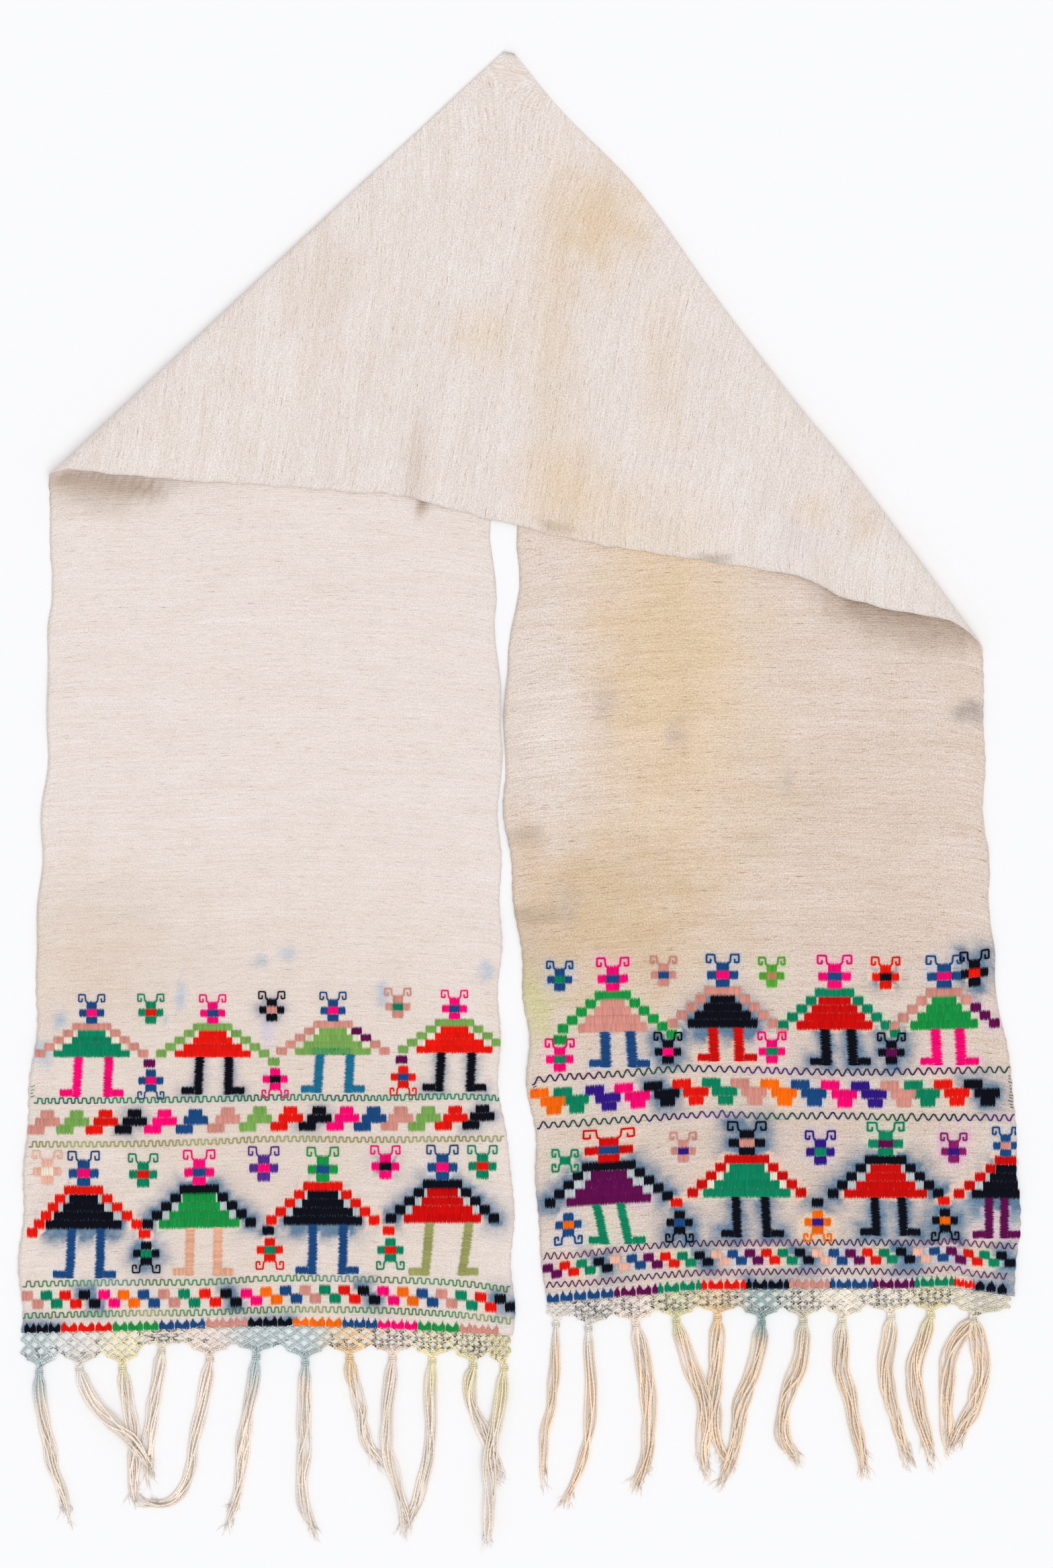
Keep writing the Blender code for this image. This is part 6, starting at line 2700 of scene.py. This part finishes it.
@dataclass(frozen=True)
class Tassel:
    """A tassel: a wrapped neck, with the plied strands of one or two bundles below it."""

    name: str
    node: str
    bundles: tuple[Bundle, ...]
    yarn: Colour
    seed: int
    strand_half: float = 0.00098
    spread: float = 0.00053
    inner_spread: float = 0.45
    lengths: tuple[float, float] = (0.86, 1.03)
    tones: tuple[float, float] = (0.90, 1.06)
    fades: tuple[float, float] = (0.7, 1.3)
    twists: tuple[float, float] = (1.6, 3.4)
    # How much painted shade a strand takes where it turns under the rest of its bundle.
    shade: float = 0.14
    neck: float = 0.42
    neck_run: float = 0.10
    root_rise: float = 0.0035
    pile: float = 0.0012
    bed: float = 0.0009
    wander: float = 0.0040
    wander_turns: float = 4.2
    root_height: float = 0.0010
    yarn_flatness: float = 0.66
    ply_pitch: float = 0.0062
    fray_fibres: int = 4
    fray_half: float = 0.00032
    fray_spread: float = 0.32
    fray_bend: float = 0.0009
    fray_reach: tuple[float, float] = (0.004, 0.0125)
    fray_tones: tuple[float, float] = (0.8, 1.1)
    fray_floor: float = 0.0004
    wrap_points: int = 22
    wrap_points_to_a_turn: int = 10
    wrap_radius: tuple[float, float] = (0.0030, 0.0019)
    wrap_top: float = 0.0014
    wrap_drop: float = 0.00016
    wrap_height: float = 0.0026
    wrap_half: float = 0.00070
    wrap_tone: float = 0.92
    step: float = 0.0018

    def _strand(self, skein: Skein, bundle: Bundle, number: int, twist: float) -> None:
        """Lays one strand, from inside the neck to its frayed end, wound loosely about the bundle's middle.

        Args:
            skein: What gathers the yarns.
            bundle: The strand's bundle.
            number: The strand's number in it, from 0.
            twist: How far the bundle is wound over its length, in radians.
        """
        chance = skein.chance
        start = math.tau * number / bundle.strands + chance.uniform(-0.3, 0.3)
        reach = self.spread * bundle.strands * (1.0 if number % 3 else self.inner_spread)
        length = bundle.length * chance.uniform(*self.lengths)
        phase = chance.uniform(0, 50)
        tone = chance.uniform(*self.tones)
        fade = bundle.fade * chance.uniform(*self.fades)
        root, yarn, shaded_yarn = linear(bundle.tint), linear(self.yarn), linear(YARN_SHADE)
        path = []
        for place, lean in bundle.path(length, self.step):
            share = len(path) * self.step / length
            side = Vector((math.cos(lean), math.sin(lean)))
            opened = self.neck + (1.0 - self.neck) * ease(share / self.neck_run)
            opened *= 1.0 - 0.25 * ease(share * 3 - 1.6)
            turn = start + twist * share
            stray = noise.noise(Vector((share * self.wander_turns, phase, 0.0)))
            wander = stray * self.wander * ease(share * 1.6)
            spot = place + side * (reach * opened * math.cos(turn) + wander)
            rise = self.bed + self.pile * (1.0 + math.sin(turn)) * opened
            rise += self.root_height * (1.0 - ease(share / self.neck_run)) + bundle.lift * ease(share * 2)
            path.append(Vector((spot.x, spot.y, rise)))
        path[0].y += self.root_rise

        def colour(share: float) -> Colour:
            """The strand's colour: the netting's tint at its root, and darkened with painted shade where it
            turns under the rest of the bundle.
            """
            under = self.shade * max(0.0, -math.sin(start + twist * share))
            return toned(blend(blend(root, yarn, ease(share / fade)), shaded_yarn, under), tone)

        def girth(share: float) -> float:
            """The strand's half-width, drawn in at its root and thinned at its end."""
            return self.strand_half * (0.82 + 0.18 * ease(share * 8)) * (1.0 - 0.55 * ease(share * 12 - 11))

        skein.lay(path, girth, colour)
        self._fray(skein, path, colour(1.0))

    def _fray(self, skein: Skein, path: Sequence[Vector], colour: Colour) -> None:
        """Lays the loose fibres at a strand's end.

        Args:
            skein: What gathers the yarns.
            path: The strand's middle line.
            colour: Its colour at its end.
        """
        chance = skein.chance
        run = (path[-1] - path[-4]).normalized()
        for _ in range(self.fray_fibres):
            start = path[-1 - chance.randrange(3)] + Vector((0, 0, chance.uniform(-0.0002, 0.0003)))
            turn = chance.gauss(0.0, self.fray_spread)
            reach = chance.uniform(*self.fray_reach)
            way = Vector((run.x * math.cos(turn) - run.y * math.sin(turn),
                          run.x * math.sin(turn) + run.y * math.cos(turn), 0.0))
            bend = Vector((-way.y, way.x, 0.0)) * chance.gauss(0.0, self.fray_bend)
            low = max(self.fray_floor, start.z * 0.6)
            spots = [start, start + way * reach * 0.5 + bend, start + way * reach]
            for spot in spots[1:]:
                spot.z = low
            end = toned(colour, chance.uniform(*self.fray_tones))
            skein.lay(spots, lambda share: self.fray_half * (1.0 - 0.7 * share), lambda _: end)

    def _wrap(self, skein: Skein, bundle: Bundle) -> None:
        """Lays the turns of yarn that bind the neck.

        Args:
            skein: What gathers the yarns.
            bundle: The bundle that they bind.
        """
        spots = []
        for number in range(self.wrap_points):
            angle = number * math.tau / self.wrap_points_to_a_turn
            spots.append(Vector((
                bundle.x + self.wrap_radius[0] * math.cos(angle),
                bundle.y + self.wrap_top - number * self.wrap_drop,
                self.wrap_height + self.wrap_radius[1] * math.sin(angle),
            )))
        colour = toned(linear(bundle.tint), self.wrap_tone)
        skein.lay(spots, lambda _: self.wrap_half, lambda _: colour)

    def build(self, former: YarnFormer, finish: bpy.types.Material) -> bpy.types.Object:
        """Forms the tassel.

        Args:
            former: What forms its yarns.
            finish: Their material.

        Returns:
            The tassel.
        """
        skein = Skein(ply_pitch=self.ply_pitch, seed=self.seed)
        for bundle in self.bundles:
            twist = skein.chance.choice((-1, 1)) * skein.chance.uniform(*self.twists)
            for number in range(bundle.strands):
                self._strand(skein, bundle, number, twist)
        self._wrap(skein, self.bundles[0])
        given = {"Sides": 5, "Flatness": self.yarn_flatness, "Finish": finish}
        return former.form(self.name, skein.guide(self.name), given)


def tassels(side: str, bundles: Sequence[Bundle], yarn: Colour) -> list[Tassel]:
    """The tassels of one end. Two bundles in one place share a neck.

    Args:
        side: The end's side.
        bundles: Its bundles.
        yarn: Its yarn's colour.

    Returns:
        The tassels, from left to right.
    """
    found: dict[tuple[float, float], list[Bundle]] = {}
    for bundle in bundles:
        found.setdefault((bundle.x, bundle.y), []).append(bundle)
    return [
        Tassel(f"{side}_tassel_{number:02d}", f"tassel_{side}_{number:02d}", tuple(shared), yarn, 31 * number)
        for number, shared in enumerate(found.values(), start=1)
    ]


# ---------------------------------------------------------------- the studio


@dataclass(frozen=True)
class Studio:
    """A pale floor under plain soft light, seen from straight above."""

    floor_size: float = 8.0
    floor_drop: float = 0.0004
    floor_colour: Colour = (0.95, 0.95, 0.955)
    sky: float = 0.705
    sky_colour: Colour = (0.95, 0.965, 1.0)
    sun: float = 1.14
    sun_colour: Colour = (1.0, 0.975, 0.945)
    sun_spread: float = 50.0
    sun_turn: tuple[float, float] = (15.0, 11.0)
    camera_height: float = 3.2
    view_height: float = 1.2843
    view_shift: tuple[float, float] = (0.0057, 0.0091)
    sensor: float = 36.0

    def _floor(self) -> None:
        """The floor."""
        half = self.floor_size / 2
        mesh = bpy.data.meshes.new("floor")
        corners = [(-half, -half), (half, -half), (half, half), (-half, half)]
        mesh.from_pydata([(x, y, -self.floor_drop) for x, y in corners], [], [(0, 1, 2, 3)])
        finish = bpy.data.materials.new("floor")
        finish.use_nodes = True
        shader = finish.node_tree.nodes["Principled BSDF"]
        shader.inputs["Base Color"].default_value = (*self.floor_colour, 1.0)
        shader.inputs["Roughness"].default_value = 0.95
        shader.inputs["Specular IOR Level"].default_value = 0.0
        mesh.materials.append(finish)
        floor = put("floor", mesh)
        floor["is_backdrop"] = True

    def _light(self) -> None:
        """A white sky, and a broad sun a little to the right and below."""
        world = bpy.data.worlds.new("soft sky")
        world.use_nodes = True
        light = world.node_tree.nodes["Background"]
        light.inputs["Color"].default_value = (*self.sky_colour, 1.0)
        light.inputs["Strength"].default_value = self.sky
        bpy.context.scene.world = world
        lamp = bpy.data.lights.new("broad sun", "SUN")
        lamp.energy = self.sun
        lamp.angle = math.radians(self.sun_spread)
        lamp.color = self.sun_colour
        sun = put("broad sun", lamp)
        sun.rotation_euler = (*(math.radians(turn) for turn in self.sun_turn), 0.0)
        sun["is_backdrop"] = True

    def _camera(self, middle: Vector) -> None:
        """Sets up the camera, straight above the towel.

        Args:
            middle: The middle of the part.
        """
        lens = bpy.data.cameras.new("camera")
        lens.sensor_width = self.sensor
        lens.lens = self.sensor * self.camera_height / self.view_height
        camera = put("camera", lens)
        camera.location = (middle.x + self.view_shift[0], middle.y + self.view_shift[1], self.camera_height)
        bpy.context.scene.camera = camera
        camera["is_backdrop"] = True

    def build(self, middle: Vector) -> None:
        """Sets up the floor, the light and the camera.

        Args:
            middle: The middle of the part.
        """
        self._floor()
        self._light()
        self._camera(middle)
        bpy.context.scene.view_settings.view_transform = "Standard"


# ---------------------------------------------------------------- the rushnyk


@dataclass(frozen=True)
class Plan:
    """Where the towel's plan is set down in the frame."""

    shift: Vector

    @classmethod
    def of(cls, points: np.ndarray) -> "Plan":
        """The plan's place, from the cloth's solid: level with its peak, and midway between its sides.

        Args:
            points: The points of the cloth's middle surface.

        Returns:
            The plan.
        """
        low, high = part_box("cloth")
        sides = points[..., 0]
        across = (low.x + high.x - sides.min() - sides.max()) / 2
        return cls(Vector((across, high.y - points[..., 1].max(), 0.0)))

    def set_down(self, piece: bpy.types.Object) -> bpy.types.Object:
        """Moves a piece's mesh to its place in the frame.

        Args:
            piece: The piece.

        Returns:
            The same piece.
        """
        piece.data.transform(Matrix.Translation(self.shift))
        piece.data.update()
        return piece


def report(piece: bpy.types.Object) -> None:
    """Logs a piece and its size."""
    piece.data.calc_loop_triangles()
    LOG.info("%s: %d triangles", piece.name, len(piece.data.loop_triangles))


@dataclass(frozen=True)
class End:
    """One embroidered end of the towel, with its fringe.

    The split is the height in millimetres between its two rows of figures.
    """

    side: str
    seed: int
    upper: Wetting
    lower: Wetting
    motifs: tuple[Motif, ...]
    net: Net
    yarn: Colour
    split: float = 172.0

    def worked(self) -> dict[str, Needlework]:
        """The end's embroidery, its two rows of figures apart."""
        rows = {"upper": Needlework(self.seed, self.upper), "lower": Needlework(self.seed + 1, self.lower)}
        for motif in self.motifs:
            motif.work(rows["upper" if motif.level > self.split else "lower"])
        return rows


ENDS = (
    End("left", 11, Wetting.SPLASHED, Wetting.DAMP,
        (*LEFT_FIGURES, *LEFT_ROSETTES, *LEFT_JOINTS, *LEFT_BORDERS),
        Net("left_heading", "net_left", Towel.LEFT_LEG, LEFT_BUNDLES, 3), LEFT_YARN),
    End("right", 23, Wetting.WET, Wetting.SOAKED,
        (*RIGHT_FIGURES, *RIGHT_ROSETTES, *RIGHT_JOINTS, *RIGHT_BORDERS),
        Net("right_heading", "net_right", Towel.RIGHT_LEG, RIGHT_BUNDLES, 5, yarn_half=0.00088), RIGHT_YARN),
)


def main() -> None:
    """Builds and dresses the rushnyk."""
    start = [list(corner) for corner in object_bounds()]
    weave, fibre = WeaveGroup().build(), FibreGroup().build()
    cloth_finish = ClothFinish().build(weave)
    wool = YarnFinish(name="embroidery wool", grain=(900.0, 520.0, 900.0)).build(fibre)
    fringe = YarnFinish(name="fringe yarn", grain=(1500.0, 420.0, 1500.0), contrast=0.5).build(fibre)
    stitch_former, yarn_former = StitchFormer(), YarnFormer()

    cloth = Cloth()
    points = cloth.grid()
    plan = Plan.of(points)
    LOG.info("plan set down by %s", [round(value, 5) for value in plan.shift])
    needles = {(end.side, row): needle for end in ENDS for row, needle in end.worked().items()}
    patches = [(patch, needle.wetting) for needle in needles.values() for patch in needle.patches]
    sheet = plan.set_down(cloth.build(patches, points, cloth_finish))

    embroidery = Embroidery(stitch_former, yarn_former, Ground(points, cloth.thickness), wool)
    trims = []
    for (side, row), needle in needles.items():
        trims.append(embroidery.stitches(f"{side}_{row}_stitches", needle.stitches))
        trims.append(embroidery.threads(f"{side}_{row}_threads", needle.threads, len(trims)))
    fringes = [(end.net.build(yarn_former, fringe), end.net.node, "netting") for end in ENDS]
    for end in ENDS:
        for tassel in tassels(end.side, end.net.bundles, end.yarn):
            fringes.append((tassel.build(yarn_former, fringe), tassel.node, "tassel_yarn"))

    for piece in (*trims, *(made for made, _, _ in fringes)):
        plan.set_down(piece)
    for piece, node, slot in ((sheet, "cloth", "cloth"), *fringes):
        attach(piece, "root")
        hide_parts(node)
        report(piece)
    for piece in trims:
        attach(piece, "root")
        report(piece)
    run = float(cloth.flat_map(points)[..., 1].max())

    low, high = (Vector(corner) for corner in start)
    Studio().build((low + high) / 2)


if __name__ == "__main__":
    logging.basicConfig(level=logging.INFO, format="%(name)s %(message)s")
    main()
